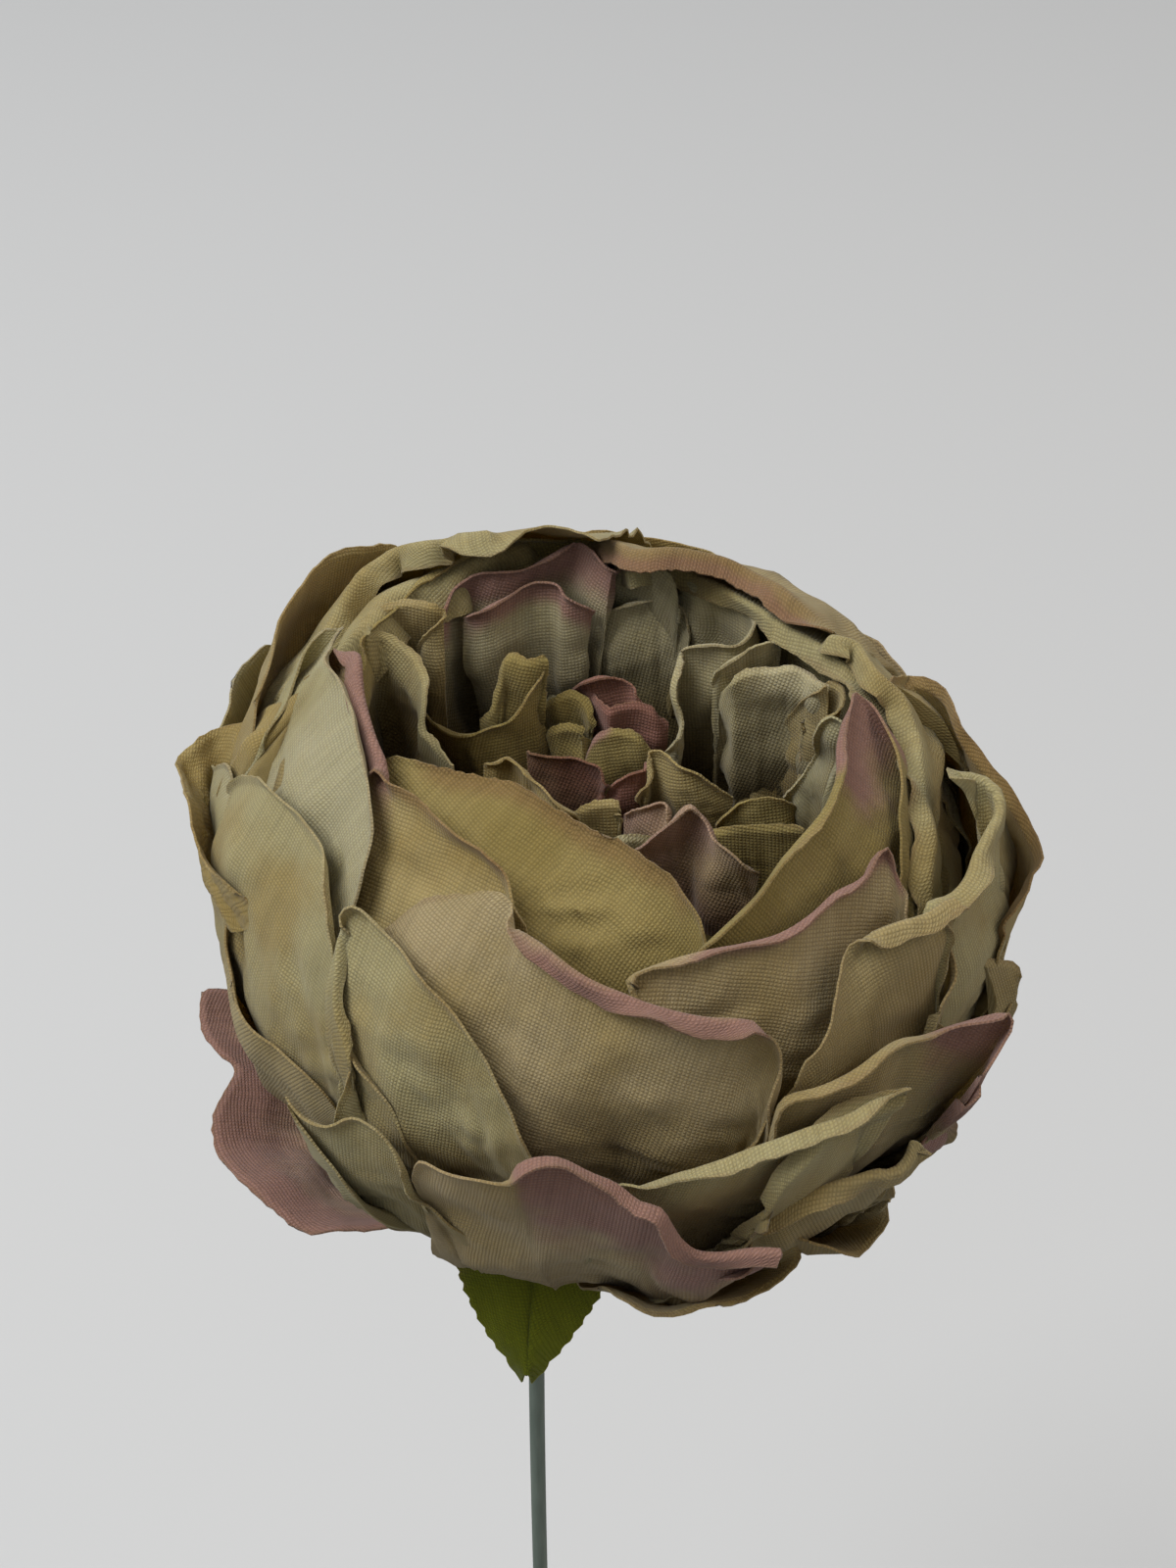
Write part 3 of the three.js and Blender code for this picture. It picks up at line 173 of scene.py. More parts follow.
def area_lamp(name, place, size, watts, colour):
    """A square lamp at a place in metres from the bloom's centre, facing it."""
    centre = BLOOM_CENTRE * MM
    offset = np.array(place)
    bpy.ops.object.light_add(type="AREA", location=centre + offset)
    lamp = bpy.context.object
    lamp.name = name
    lamp.data.size = size
    lamp.data.energy = watts
    lamp.data.color = linear(colour)[:3]
    flat = math.hypot(offset[0], offset[1])
    lamp.rotation_euler = (math.atan2(flat, offset[2]), 0.0, math.atan2(offset[1], offset[0]) + math.pi / 2)
    return lamp


lamps = [area_lamp("window", (-1.4, -0.35, 2.1), 1.5, 60, "fafbff"),
         area_lamp("fill", (1.6, -0.3, 1.6), 1.5, 12, "ffeedd")]

# the sky is brighter above than below, and the floor is seen but throws no light back up, as with
# a black card laid out of view under the flower
SKY_ABOVE, SKY_BELOW = 0.5, 0.26
floor.visible_diffuse = False
floor.visible_glossy = False
world = bpy.data.worlds.new("grey_sky")
bpy.context.scene.world = world
world.use_nodes = True
sky = world.node_tree.nodes["Background"]
sky.inputs["Color"].default_value = linear("e9eaee")
way_up = add(world.node_tree, "TexCoord")
height = add(world.node_tree, "SeparateXYZ", [(way_up.outputs["Generated"], "Vector")])
strength = add(world.node_tree, "MapRange", [(height.outputs["Z"], "Value")], in_From_Min=-0.5,
               in_From_Max=0.5, in_To_Min=SKY_BELOW, in_To_Max=SKY_ABOVE, interpolation_type="SMOOTHSTEP")
join(world.node_tree, strength, sky, "Strength")
bpy.context.scene.view_settings.view_transform = "Standard"
print("a floor, a sky and", len(lamps), "lamps")

# %% [markdown]
# ## The cloth
# The petals are a thin plain-weave fabric, dyed by hand: a pale sage or straw ground, with dusty
# mauve brushed on some of the rims. Towards the root and in the pressed creases the colour is
# darker, and that is painted shade. Three ways to make it were open: a picture texture, a colour
# painted on the vertices, or a procedure. A procedure is used, because its threads stay sharp at
# any distance. It reads the piece's own UV map, which holds millimetres of cloth, and five marks of
# the piece: how far a point is from the rim, how far up from the root, how deep in a crease, and
# how much mauve and brown were brushed on.

# %% The cloth material
THREAD_MM = 0.42  # real threads are about 0.35 mm apart, drawn a little coarser so that they show
THREAD_HEIGHT, CRUMPLE_HEIGHT = 0.00012, 0.0006  # in metres, as a Bump node's distance is
COLOUR_A, COLOUR_B, COLOUR_OUT = 6, 7, 2  # a Mix node's colour sockets
BRUSHED_MAUVE, AGED_BROWN, CUT_EDGE = "8a685c", "765b36", "7b6143"
EDGE_MM = 0.5  # how far in the heat reached
RUN = 0.9  # how raggedly a brushed dye ends


def cloth(name, ground, blotch, root):
    """Dyed plain-weave polyester: matt, a little sheen from its fibres, visible threads, and thin
    enough to let some light through."""
    material, tree, shader = new_material(
        name, Roughness=0.85, Specular_IOR_Level=0.2, Sheen_Weight=0.1, Sheen_Roughness=0.5,
        Subsurface_Weight=0.3, Subsurface_Radius=(1.0, 0.85, 0.5), Subsurface_Scale=0.0012)
    place = add(tree, "TexCoord")
    flat, solid = place.outputs["UV"], place.outputs["Object"]
    runny = add(tree, "TexNoise", [(solid, "Vector")], in_Scale=180.0, in_Detail=4.0)
    run = add(tree, "Math", [(runny, 0)], operation="SUBTRACT", in_1=0.5)

    def mixed(under, over, share):
        """Lays a colour, or a colour socket, over another by a share."""
        node = add(tree, "Mix", [(share, 0)], data_type="RGBA")
        for colour, socket in ((under, COLOUR_A), (over, COLOUR_B)):
            if type(colour) == str:
                node.inputs[socket].default_value = linear(colour)
            else:
                join(tree, colour, node, socket)
        return node.outputs[COLOUR_OUT]

    def mark(name):
        return add(tree, "Attribute", attribute_name=name).outputs["Fac"]

    def dyed_or_shaded(under, over, name, ragged, start, end, at_start, at_end):
        """Lays a colour over another by a mark of the piece, a dye or a painted shade, with a border that
        runs as raggedly as ragged says.
        """
        wet = add(tree, "Math", [(run, 0), (mark(name), 2)], operation="MULTIPLY_ADD", in_1=ragged)
        share = add(tree, "MapRange", [(wet, "Value")], in_From_Min=start, in_From_Max=end,
                    in_To_Min=at_start, in_To_Max=at_end, interpolation_type="SMOOTHSTEP")
        return mixed(under, over, share)

    # uneven dye in broad patches, then painted shade: the colour darkens towards the root
    broad = add(tree, "TexNoise", [(solid, "Vector")], in_Scale=70.0, in_Detail=5.0)
    patch = add(tree, "MapRange", [(broad, "Value")], in_From_Min=0.38, in_From_Max=0.66,
                interpolation_type="SMOOTHSTEP")
    colour = dyed_or_shaded(mixed(ground, blotch, patch), root, "up_from_root", 0.0, 0.1, 0.8, 0.95, 0.0)
    # painted shade in the creases, laid with the root colour
    crease_shade = add(tree, "Math", [(mark("creased"), 0)], operation="MULTIPLY", in_1=0.55)
    colour = mixed(colour, root, crease_shade)

    # mauve and brown brushed on, and the cut edge, sealed and browned by heat
    colour = dyed_or_shaded(colour, BRUSHED_MAUVE, "brushed", RUN, 0.12, 0.75, 0.0, 0.95)
    colour = dyed_or_shaded(colour, AGED_BROWN, "stained", RUN, 0.12, 0.85, 0.0, 0.65)
    colour = dyed_or_shaded(colour, CUT_EDGE, "mm_from_rim", -2.0, 0.0, EDGE_MM, 0.3, 0.0)

    # over and under: each crossing of two threads is a small raised square
    threads = add(tree, "SeparateXYZ", [(flat, "Vector")])
    waves = []
    for way in "XY":
        turn = add(tree, "Math", [(threads.outputs[way], 0)], operation="MULTIPLY", in_1=math.pi / THREAD_MM)
        waves.append(add(tree, "Math", [(turn, 0)], operation="SINE"))
    crossed = add(tree, "Math", [(waves[0], 0), (waves[1], 1)], operation="MULTIPLY")
    weave = add(tree, "Math", [(crossed, 0)], operation="ABSOLUTE")

    # threads catch the light, the gaps between them are darker, and thick threads show as slubs
    long_thin = add(tree, "Mapping", [(flat, "Vector")], in_Scale=(1.3, 0.07, 1.0))
    slubs = add(tree, "TexNoise", [(long_thin, "Vector")], in_Scale=1.0, in_Detail=4.0)
    grain = add(tree, "Math", [(slubs, 0)], operation="MULTIPLY_ADD", in_1=0.4, in_2=0.64)
    tone = add(tree, "Math", [(weave, 0), (grain, 2)], operation="MULTIPLY_ADD", in_1=0.36)
    woven = add(tree, "Mix", [(colour, COLOUR_A), (tone, COLOUR_B)], data_type="RGBA",
                blend_type="MULTIPLY", in_0=1.0)
    join(tree, woven.outputs[COLOUR_OUT], shader, "Base Color")
    raised = add(tree, "Bump", [(weave, "Height")], in_Strength=0.7, in_Distance=THREAD_HEIGHT)
    crumple = add(tree, "TexNoise", [(solid, "Vector")], in_Scale=420.0, in_Detail=3.0)
    crumpled = add(tree, "Bump", [(crumple, "Height"), (raised, "Normal")], in_Strength=0.35,
                   in_Distance=CRUMPLE_HEIGHT)
    join(tree, crumpled, shader, "Normal")
    return material


# each cloth is a name, a ground, a blotch, and the colour of the painted shade laid towards its root and in
# its creases
CLOTHS = {
    "sage": cloth("sage_cloth", "9b9168", "907f50", "6b5a32"),
    "pale": cloth("pale_sage_cloth", "a09876", "998e61", "6f6038"),
    "light": cloth("light_sage_cloth", "a99f7c", "9b9068", "4d401f"),
    "yellow": cloth("straw_cloth", "9b8a5b", "8b7744", "66542c"),
    "ochre": cloth("ochre_cloth", "97875d", "897647", "5f4e26"),
    "cream": cloth("cream_cloth", "a08f6a", "978458", "66542e"),
    # front_main's cloth: its darker root colour is a painted shadow under the petal's lower part
    "front": cloth("front_cream_cloth", "9f8f6a", "958357", "44351a"),
    "olive": cloth("olive_cloth", "8d7d4b", "7f6f3c", "4e3f18"),
    "mauve": cloth("mauve_cloth", "9b7c6b", "998561", "5d4530"),
    "rose": cloth("rose_cloth", "8d6355", "7d5848", "4d3020"),
    "brown": cloth("brown_mauve_cloth", "6f4b3c", "654b31", "3c2817"),
}
print(len(CLOTHS), "dyed cloths")

# %% [markdown]
# ## How a petal is made
# On the real flower each petal is a stamped piece of cloth, pressed hollow over a warm ball and
# glued by its root to the core. So a petal is drawn here on a ball: its rim is a curve through
# places given as azimuth, latitude and a share of the ball's radius, and the cloth runs from the
# root up to that rim. The places are the same ones that shape the solid, so both keep one form.

# %% The ball and its curves
BLOOM_RADIUS, BLOOM_HALF_HEIGHT = 49.0, 42.0
ROOT_SHARE = 0.8
WAIST_LATITUDE, BODY_LATITUDE = -30.0, 25.0
ROOT_PART = 0.4
HUNDREDTHS = 100.0  # a rim's shares are written in hundredths
SHARE_SCALE = 40.0  # how much a share counts against degrees when a rim is divided evenly


def on_ball(azimuth, latitude, share):
    """A place on the ball in millimetres from the bloom's centre; azimuth 0 is the front."""
    a, l = np.radians(azimuth), np.radians(latitude)
    flat = share * BLOOM_RADIUS * np.cos(l)
    return np.stack([flat * np.sin(a), -flat * np.cos(a), share * BLOOM_HALF_HEIGHT * np.sin(l)], -1)


def even_curve(places, count):
    """A centripetal Catmull-Rom curve: count even points on it, and how far along each place is."""
    p = np.array(places, float)
    p = np.vstack([2 * p[0] - p[1], p, 2 * p[-1] - p[-2]])
    gap = np.sqrt(np.linalg.norm(np.diff(p, axis=0), axis=1))[:, None]
    t = np.linspace(0.0, 1.0, 40, endpoint=False)[:, None]
    pieces = []
    for k in range(1, len(p) - 2):
        a, b, c, d = p[k - 1], p[k], p[k + 1], p[k + 2]
        ab, bc, cd = gap[k - 1], gap[k], gap[k + 1]
        start = ((b - a) / ab - (c - a) / (ab + bc) + (c - b) / bc) * bc
        end = ((c - b) / bc - (d - b) / (bc + cd) + (d - c) / cd) * bc
        pieces.append(b + start * t + (3 * (c - b) - 2 * start - end) * t ** 2
                      + (2 * (b - c) + start + end) * t ** 3)
    dense = np.vstack(pieces + [p[-2:-1]])
    along = np.concatenate([[0.0], np.cumsum(np.linalg.norm(np.diff(dense, axis=0), axis=1))])
    along /= along[-1]
    even = np.linspace(0.0, 1.0, count)
    return np.stack([np.interp(even, along, dense[:, k]) for k in range(3)], -1), along[::40]


def petal_sheet(root, root_width, waist, body, flare, rim, columns, rows):
    """A petal's points, by column along its rim and row from its root, and where its places are."""
    rim = rim if rim[0][0] < rim[-1][0] else rim[::-1]
    places, marks = even_curve(np.array(rim, float) / (1, 1, HUNDREDTHS) * (1, 1, SHARE_SCALE), columns)
    v = np.linspace(0.0, 1.0, rows)[None, :]
    azimuth = root[0] + (places[:, 0:1] - root[0]) * lerp(root_width, 1.0, v)
    latitude = lerp(root[1], places[:, 1:2], v)
    wall = lerp(waist, body, smooth((latitude - WAIST_LATITUDE) / (BODY_LATITUDE - WAIST_LATITUDE)))
    risen = lerp(ROOT_SHARE, wall, smooth(v / ROOT_PART))
    return on_ball(azimuth, latitude, lerp(risen, places[:, 2:3] / SHARE_SCALE, v ** flare)), marks


# %% [markdown]
# ## What makes it cloth
# A pressed petal is never a clean shell. It swells and dips, it has veins pressed into it that fan
# out from the root, and its edge is rolled over a hot iron. Cloth simulation could give
# the folds, but a glued and pressed petal keeps the shape that it was pressed to, so the swellings
# and veins are added along the surface's normal and the rolled lip is bent as an arc.

# %% Swellings, veins and rolled lips
def unit(vectors):
    return vectors / np.maximum(np.linalg.norm(vectors, axis=-1, keepdims=True), 1e-9)


def normals(sheet):
    return unit(np.cross(np.gradient(sheet, axis=0), np.gradient(sheet, axis=1)))


FOLD_PART = 0.55  # the share of a lip that bends, before its flat end
WAVES, WAVES_TOGETHER = 10, 3.2  # how many waves make a swelling, and about how high they add up


def swell(points, wavelength, draw):
    """Smooth seeded noise of about -1 to 1 at each point: waves in random directions, added up."""
    total = np.zeros(points.shape[:-1])
    for _ in range(WAVES):
        direction = unit(draw.normal(size=3)) * draw.uniform(0.7, 1.5) * 2 * math.pi / wavelength
        total += np.sin(points @ direction + draw.uniform(0, 2 * math.pi))
    return total / WAVES_TOGETHER


def creases(sheet, count, depth, draw):
    """Sharp folds pressed into the cloth, which fan out from the root: how far each point moves,
    and how much of a crease it is."""
    columns, rows = sheet.shape[:2]
    u, v = np.meshgrid(np.linspace(0, 1, columns), np.linspace(0, 1, rows), indexing="ij")
    moved, marks = np.zeros((columns, rows)), np.zeros((columns, rows))
    for k in range(count):
        middle = (k + draw.uniform(0.15, 0.85)) / count + draw.uniform(-0.08, 0.08) * v
        width = draw.uniform(0.02, 0.06)
        reach = draw.uniform(0.7, 1.1)
        line = np.exp(-np.abs(u - middle) / width) * smooth(v / 0.3) * smooth((reach - v) / 0.2)
        strength = draw.uniform(0.3, 1.0)
        moved += draw.choice((-1, 1)) * strength * depth * line
        marks = np.maximum(marks, strength * line ** 3)
    return moved * smooth(np.minimum(u, 1 - u) / 0.1), marks


def crinkles(sheet, across, along, draw):
    """Sharp little ridges all over, longer one way than the other, of about -1 to 1."""
    over = np.cumsum(np.linalg.norm(np.diff(sheet, axis=0, prepend=sheet[:1]), axis=-1), axis=0)
    up = np.cumsum(np.linalg.norm(np.diff(sheet, axis=1, prepend=sheet[:, :1]), axis=-1), axis=1)
    stretched = np.stack([over / across, up / along, 0 * up], -1)
    return 1 - 2 * np.abs(swell(stretched, 1.0, draw))


def curl(sheet, turn, length, lip_rows):
    """Folds the last length mm of each column over by its turn in radians, tightest where the fold
    starts, with its top where the rim was. Returns the sheet and each point's way to the rim."""
    facing = normals(sheet)
    step = length / lip_rows
    bend = smooth(np.arange(1, lip_rows + 1) / (FOLD_PART * lip_rows))
    curled, way = [], []
    for column, out, angle in zip(sheet, facing, turn):
        along = np.concatenate([[0.0], np.cumsum(np.linalg.norm(np.diff(column, axis=0), axis=1))])
        ahead, aside = np.cumsum(np.cos(angle * bend)) * step, np.cumsum(np.sin(angle * bend)) * step
        start = along[-1] - min(ahead.max(), 0.5 * along[-1])

        def at(distance, values=column):
            return np.stack([np.interp(distance, along, values[:, k]) for k in range(3)], -1)

        base = np.linspace(0.0, start, len(column))
        tangent = unit(at(start) - at(start - 0.8))
        normal = at(start, out)
        normal = unit(normal - tangent * (normal @ tangent))
        curled.append(np.vstack([at(base), at(start) + tangent * ahead[:, None] + normal * aside[:, None]]))
        way.append(np.concatenate([length + start - base, length - step * np.arange(1, lip_rows + 1)]))
    return np.array(curled), np.array(way)


def fray(sheet, depth, draw):
    """Moves the very edge in and out a little, as cut threads stand out or are pulled."""
    last = unit(sheet[:, -1] - sheet[:, -2])
    ragged = sheet.copy()
    ragged[:, -1] += last * (draw.uniform(-1.0, 1.0, len(sheet)) * depth)[:, None]
    return ragged


def piece_of_cloth(name, sheet, marks, thickness, material, bias):
    """A flat grid, moved point by point to the sheet's places and given the cloth's thickness. The
    marks are the values that the cloth's material reads, by name, and bias turns its weave."""
    columns, rows = sheet.shape[:2]
    deselect()
    bpy.ops.mesh.primitive_grid_add(x_subdivisions=columns - 1, y_subdivisions=rows - 1, size=2.0)
    piece = bpy.context.object
    mesh = piece.data
    flat = np.empty(len(mesh.vertices) * 3)
    mesh.vertices.foreach_get("co", flat)
    flat = flat.reshape(-1, 3)
    i = np.rint((flat[:, 0] + 1) / 2 * (columns - 1)).astype(int)
    j = np.rint((flat[:, 1] + 1) / 2 * (rows - 1)).astype(int)
    mesh.vertices.foreach_set("co", ((sheet[i, j] + BLOOM_CENTRE) * MM).ravel())
    for key, values in marks.items():
        layer = mesh.attributes.new(key, "FLOAT", "POINT")
        layer.data.foreach_set("value", values[i, j].astype(np.float32))
    across = np.linalg.norm(np.diff(sheet, axis=0), axis=-1)
    across = np.vstack([np.zeros((1, rows)), np.cumsum(across, axis=0)])
    across -= across[columns // 2]
    upward = np.linalg.norm(np.diff(sheet, axis=1), axis=-1)
    upward = np.hstack([np.zeros((columns, 1)), np.cumsum(upward, axis=1)])
    woven = np.stack([across * math.cos(bias) - upward * math.sin(bias),
                      across * math.sin(bias) + upward * math.cos(bias)], -1)
    corners = np.empty(len(mesh.loops), int)
    mesh.loops.foreach_get("vertex_index", corners)
    mesh.uv_layers[0].data.foreach_set("uv", woven[i, j][corners].ravel())
    mesh.update()
    solid = piece.modifiers.new("thickness", "SOLIDIFY")
    solid.thickness = thickness * MM
    solid.offset = -1.0
    apply_modifiers(piece)
    bpy.ops.object.shade_smooth_by_angle(angle=math.radians(CLOTH_ANGLE))
    return hand_in(piece, name, material, "petal_cloth", "bloom")


# %% [markdown]
# ## The cup petals
# These wrap the flower from outside, in layers from the foot to the open top. Each is its cloth,
# its root, how wide the root is against the rim, its share of the ball at the waist and at the
# body, how late it flares, and its rim, in azimuth, latitude and hundredths of the ball's radius.

# %% The cup petals' places
PETALS = {
    # the lowest, which spread out
    "mauve_left": ("mauve", (-56, -58), 0.4, 0.91, 0.97, 3, [
        (-26, -50, 86), (-34, -32.5, 93), (-38.5, -28.5, 100), (-44, -26, 108), (-50, -25.5, 111),
        (-55.5, -25, 112), (-62.5, -24.5, 112), (-68.5, -24, 110), (-72.5, -25, 107), (-77.5, -26, 103),
        (-80.5, -24, 105), (-88, -22, 108), (-92.5, -22, 108), (-93.5, -24.5, 103), (-100, -40, 86)]),
    "ochre_front": ("ochre", (12, -60), 0.45, 0.97, 1, 3, [
        (36, -40, 90), (23, -12, 101), (23.5, -15.5, 103), (21.5, -18.5, 105), (18.5, -20.5, 106),
        (15, -19, 107), (10.5, -17.5, 107), (8, -19, 107), (4.5, -18, 107), (2, -18, 105), (-8, -50, 93)]),
    "ochre_right": ("ochre", (38, -60), 0.45, 0.94, 0.98, 3, [
        (58, -40, 88), (37, -9, 100), (35, -9.5, 103), (36, -16, 104), (33.5, -17.5, 105), (29, -13, 106),
        (25.5, -10, 105), (22.5, -9, 102), (20, -45, 90)]),
    "mauve_right": ("mauve", (58, -60), 0.45, 0.93, 0.97, 3, [
        (76, -38, 86), (48.5, 0.5, 102), (47, 0.5, 104), (45.5, -0.5, 104), (43, -2, 102), (40.5, -5, 100),
        (38, -8.5, 98), (38, -45, 88)]),
    "skirt_front": ("cream", (-5, -60), 0.45, 0.97, 0.99, 4, [
        (-24, -38, 93), (-23, -3, 102), (-23, 5, 104), (-21.5, 8.5, 106), (-18.5, 9.5, 108),
        (-14, 11.5, 110), (-11, 12, 111), (-10, 14, 112), (-8, 15.5, 113), (-6, 15.5, 113), (-3.5, 14, 113),
        (-0.5, 11.5, 112), (2.5, 9, 112), (5, 8.5, 112), (6.5, 6, 112), (7.5, 3, 112), (9, 0.5, 112),
        (12, 0, 113), (15, 1, 115), (17, 1, 116), (16.5, -2, 114), (12.5, -7, 110), (12, -38, 98)]),
    "left_small": ("sage", (-23, -42), 0.45, 0.93, 1.02, 3, [
        (-16, -14, 98), (-23, -0.5, 104), (-24, 6, 105), (-25.5, 9.5, 106), (-27.5, 12, 107),
        (-30, 12, 107), (-33, 10, 108), (-36.5, 9.5, 108), (-39, 11, 109), (-38, 8.5, 109), (-35, 5.5, 108),
        (-31.5, 0.5, 107), (-29, -12, 102)]),
    "tip_right": ("ochre", (44, -40), 0.45, 0.91, 0.955, 3, [
        (22, -40, 92), (18.5, 16, 105), (20, 18.5, 106), (23.5, 19.5, 107), (28.5, 20.5, 108),
        (34.5, 21, 109), (38.5, 19.5, 110), (42.5, 19.5, 113), (45, 19.5, 116), (47.5, 19, 118),
        (46, 17.5, 117), (44, 15.5, 116), (42.5, 14, 115), (42.5, 10.5, 113), (42, 8, 110), (48, -8, 102),
        (54, -35, 92)]),
    "fold_right": ("sage", (-2, -50), 0.2, 0.93, 0.97, 3, [
        (-4, -34, 93), (-0.5, 7, 105), (3, 9.5, 106), (7, 11.5, 107), (10, 12.5, 108), (14.5, 13, 108),
        (19, 14.5, 109), (24.5, 16, 110), (29.5, 17.5, 112), (33.5, 16.5, 114), (31, 15.5, 114),
        (27, 15, 114), (23, 13, 113), (19, 9.5, 112), (16.5, 4, 110), (16, -1, 107), (6, -30, 102)]),
    "edge_right": ("ochre", (34, -50), 0.4, 0.95, 0.985, 3, [
        (16, -42, 93), (16.5, -2, 105), (19, 1, 107), (22.5, 3.5, 108), (25.5, 5, 109), (29, 6, 110),
        (31, 5.5, 111), (32.5, 7.5, 112), (33.5, 9, 112), (34, 7.5, 112), (34, 4, 110), (33.5, -1, 106),
        (48, -35, 93)]),
    # the left flank
    "left_ear": ("yellow", (-74, 14), 0.4, 0.84, 0.97, 2, [
        (-58, 22, 94), (-63.5, 24, 97), (-68, 25, 99), (-74.5, 24.5, 101), (-77.5, 25, 103),
        (-82.5, 26, 105), (-90.5, 24, 106), (-93.5, 24, 108), (-95.5, 25.5, 106), (-99, 26, 103),
        (-99.5, 28, 100), (-92, 44, 96), (-84, 30, 90)]),
    "left_olive": ("ochre", (-84, -45), 0.4, 0.88, 0.93, 3, [
        (-100, -35, 80), (-67, 19.5, 95), (-66.5, 16, 96), (-65, 13.5, 96), (-60.5, 11, 96),
        (-54.5, 8.5, 96), (-48, 8, 95), (-42.5, 7, 95), (-39, 2.5, 93), (-52, -40, 82)]),
    "left_long_outer": ("sage", (-42, -25), 0.35, 0.84, 0.95, 3, [
        (-22, -35, 86), (-27, 11, 99), (-35, 18, 100), (-38, 23, 100), (-41, 30, 100), (-47, 37, 100),
        (-55, 40, 100), (-70, 39, 100), (-81, 32, 99), (-84, 21, 93), (-80, 0, 84), (-68, -30, 74)]),
    "left_long_inner": ("sage", (-24, -25), 0.35, 0.88, 0.985, 3, [
        (-4, -35, 86), (-10, 12, 100), (-12, 16.5, 100), (-14.5, 21.5, 101), (-18, 26.5, 102),
        (-24, 31, 102), (-30, 34, 102), (-35.5, 36, 102), (-39, 36.5, 102), (-40.5, 33.5, 101),
        (-38.5, 28, 101), (-36.5, 23, 101), (-33.5, 17.5, 101), (-36, 0, 100), (-34, -35, 84)]),
    "left_strip_pale": ("pale", (-100, -20), 0.4, 0.82, 0.965, 3, [
        (-126, -30, 80), (-122, 18, 100), (-118, 28, 104.5), (-110, 26, 104.5), (-104, 24, 102),
        (-96, 22, 99), (-86, 30, 99), (-76, 22, 95), (-80, -25, 76)]),
    "left_strip_olive": ("ochre", (-120, -15), 0.4, 0.81, 0.945, 3, [
        (-150, -20, 80), (-146, 33, 101), (-139, 41, 105), (-132, 42, 108), (-126, 41, 111),
        (-119, 40, 110), (-111, 38, 106), (-102, 37, 101), (-92, 34, 97), (-95, -20, 76)]),
    "left_shoulder": ("pale", (-72, 0), 0.3, 0.8, 0.925, 3, [
        (-46, -30, 74), (-42, 25, 94), (-46, 45, 97), (-60, 52, 97), (-78, 54, 98), (-92, 52, 100),
        (-106, 50, 100), (-100, 44, 98), (-88, 37, 96), (-86, 20, 90), (-82, -20, 72)]),
    # the front
    "front_main": ("front", (-2, -25), 0.45, 0.84, 0.965, 4, [
        (-34, -40, 86), (-37, 15, 96), (-37, 30, 97), (-33, 38, 98), (-30.5, 40.5, 99), (-24.5, 42.5, 100),
        (-18.5, 44, 101), (-15.5, 43, 102), (-13.5, 40.5, 103), (-9, 38.5, 104), (-4.5, 36, 105),
        (0, 34, 106), (5, 32, 106), (10.5, 30.5, 106), (15.5, 29.5, 106), (18.5, 28.5, 106), (20, 26, 106),
        (20.5, 22.5, 105), (20, 19, 104), (19, 14, 102), (17, -5, 97), (16, -35, 90)]),
    "front_upper_left": ("yellow", (-40, 5), 0.4, 0.78, 0.895, 3, [
        (-12, -30, 72), (-12, 30, 90), (-13.5, 40, 94), (-16, 43, 94), (-19, 46.5, 94), (-23, 48.5, 94),
        (-29, 49.5, 94), (-36, 50.5, 94), (-43.5, 51.5, 94), (-53, 51.5, 94), (-58, 53, 94), (-76, 55, 95),
        (-92, 55, 96), (-98, 46, 93), (-86, 0, 84)]),
    "front_upper": ("olive", (-12, 5), 0.4, 0.76, 0.872, 3, [
        (20, -30, 70), (17, 28, 88), (15, 37, 93), (15, 40.5, 93), (13.5, 43.5, 92), (11.5, 47, 91),
        (7.5, 49.5, 91), (2.5, 52.5, 90), (-4.5, 54.5, 90), (-11.5, 56.5, 89), (-19.5, 58.5, 88),
        (-30.5, 60, 87), (-44, 58, 87), (-54.5, 55.5, 87), (-62.5, 52.5, 88), (-66, 45, 88),
        (-50, -30, 66)]),
    "right_lip": ("cream", (26, -10), 0.45, 0.84, 0.915, 3, [
        (-4, -35, 80), (4, 30, 96), (2, 34, 98), (7.5, 36, 99), (16.5, 37.5, 100), (24, 37.5, 100),
        (30.5, 38, 100), (36, 39, 100), (42, 39, 100), (44.5, 40.5, 101), (47.5, 41, 102), (47.5, 38, 101),
        (47.5, 34.5, 100), (46, 31, 99), (50, 12, 94), (48, -35, 80)]),
    "right_cup": ("ochre", (38, -20), 0.45, 0.87, 0.937, 3, [
        (8, -40, 92), (16, 8, 100), (22.5, 18.5, 102), (26.5, 23.5, 103), (30.5, 30.5, 104),
        (33.5, 33.5, 105), (36.5, 34, 106), (40, 34, 107), (44, 33.5, 108), (48.5, 33.5, 109),
        (49.5, 31.5, 108), (48.5, 27.5, 106), (47, 23, 104), (43, 19, 103), (50, 8, 100), (50, -30, 92)]),
    "right_spire": ("olive", (42, 5), 0.4, 0.78, 0.875, 3, [
        (8, -30, 72), (10, 33, 93), (16, 39, 96), (29, 44.5, 95), (35, 46.5, 95), (44.5, 49, 95),
        (53.5, 51.5, 95), (62.5, 54, 95), (71.5, 55.5, 95), (79.5, 55, 95), (78, 52.5, 95),
        (72.5, 49.5, 95), (67.5, 46.5, 95), (62.5, 43, 95), (58, 39, 94), (53, 35, 93), (50, 10, 88),
        (50, -20, 74)]),
    "right_far": ("yellow", (84, -20), 0.4, 0.85, 0.92, 3, [
        (114, -30, 84), (112, 25, 88), (87.5, 51, 96), (92, 46.5, 97), (90.5, 43, 98), (86, 41, 98),
        (83, 39, 98), (81, 35.5, 100), (79, 31.5, 102), (77, 26.5, 104), (73.5, 23, 106), (70.5, 22.5, 104),
        (68.5, 21.5, 103), (64, 20.5, 102), (63, 19.5, 100), (62.5, 17.5, 100), (61, 15.5, 99),
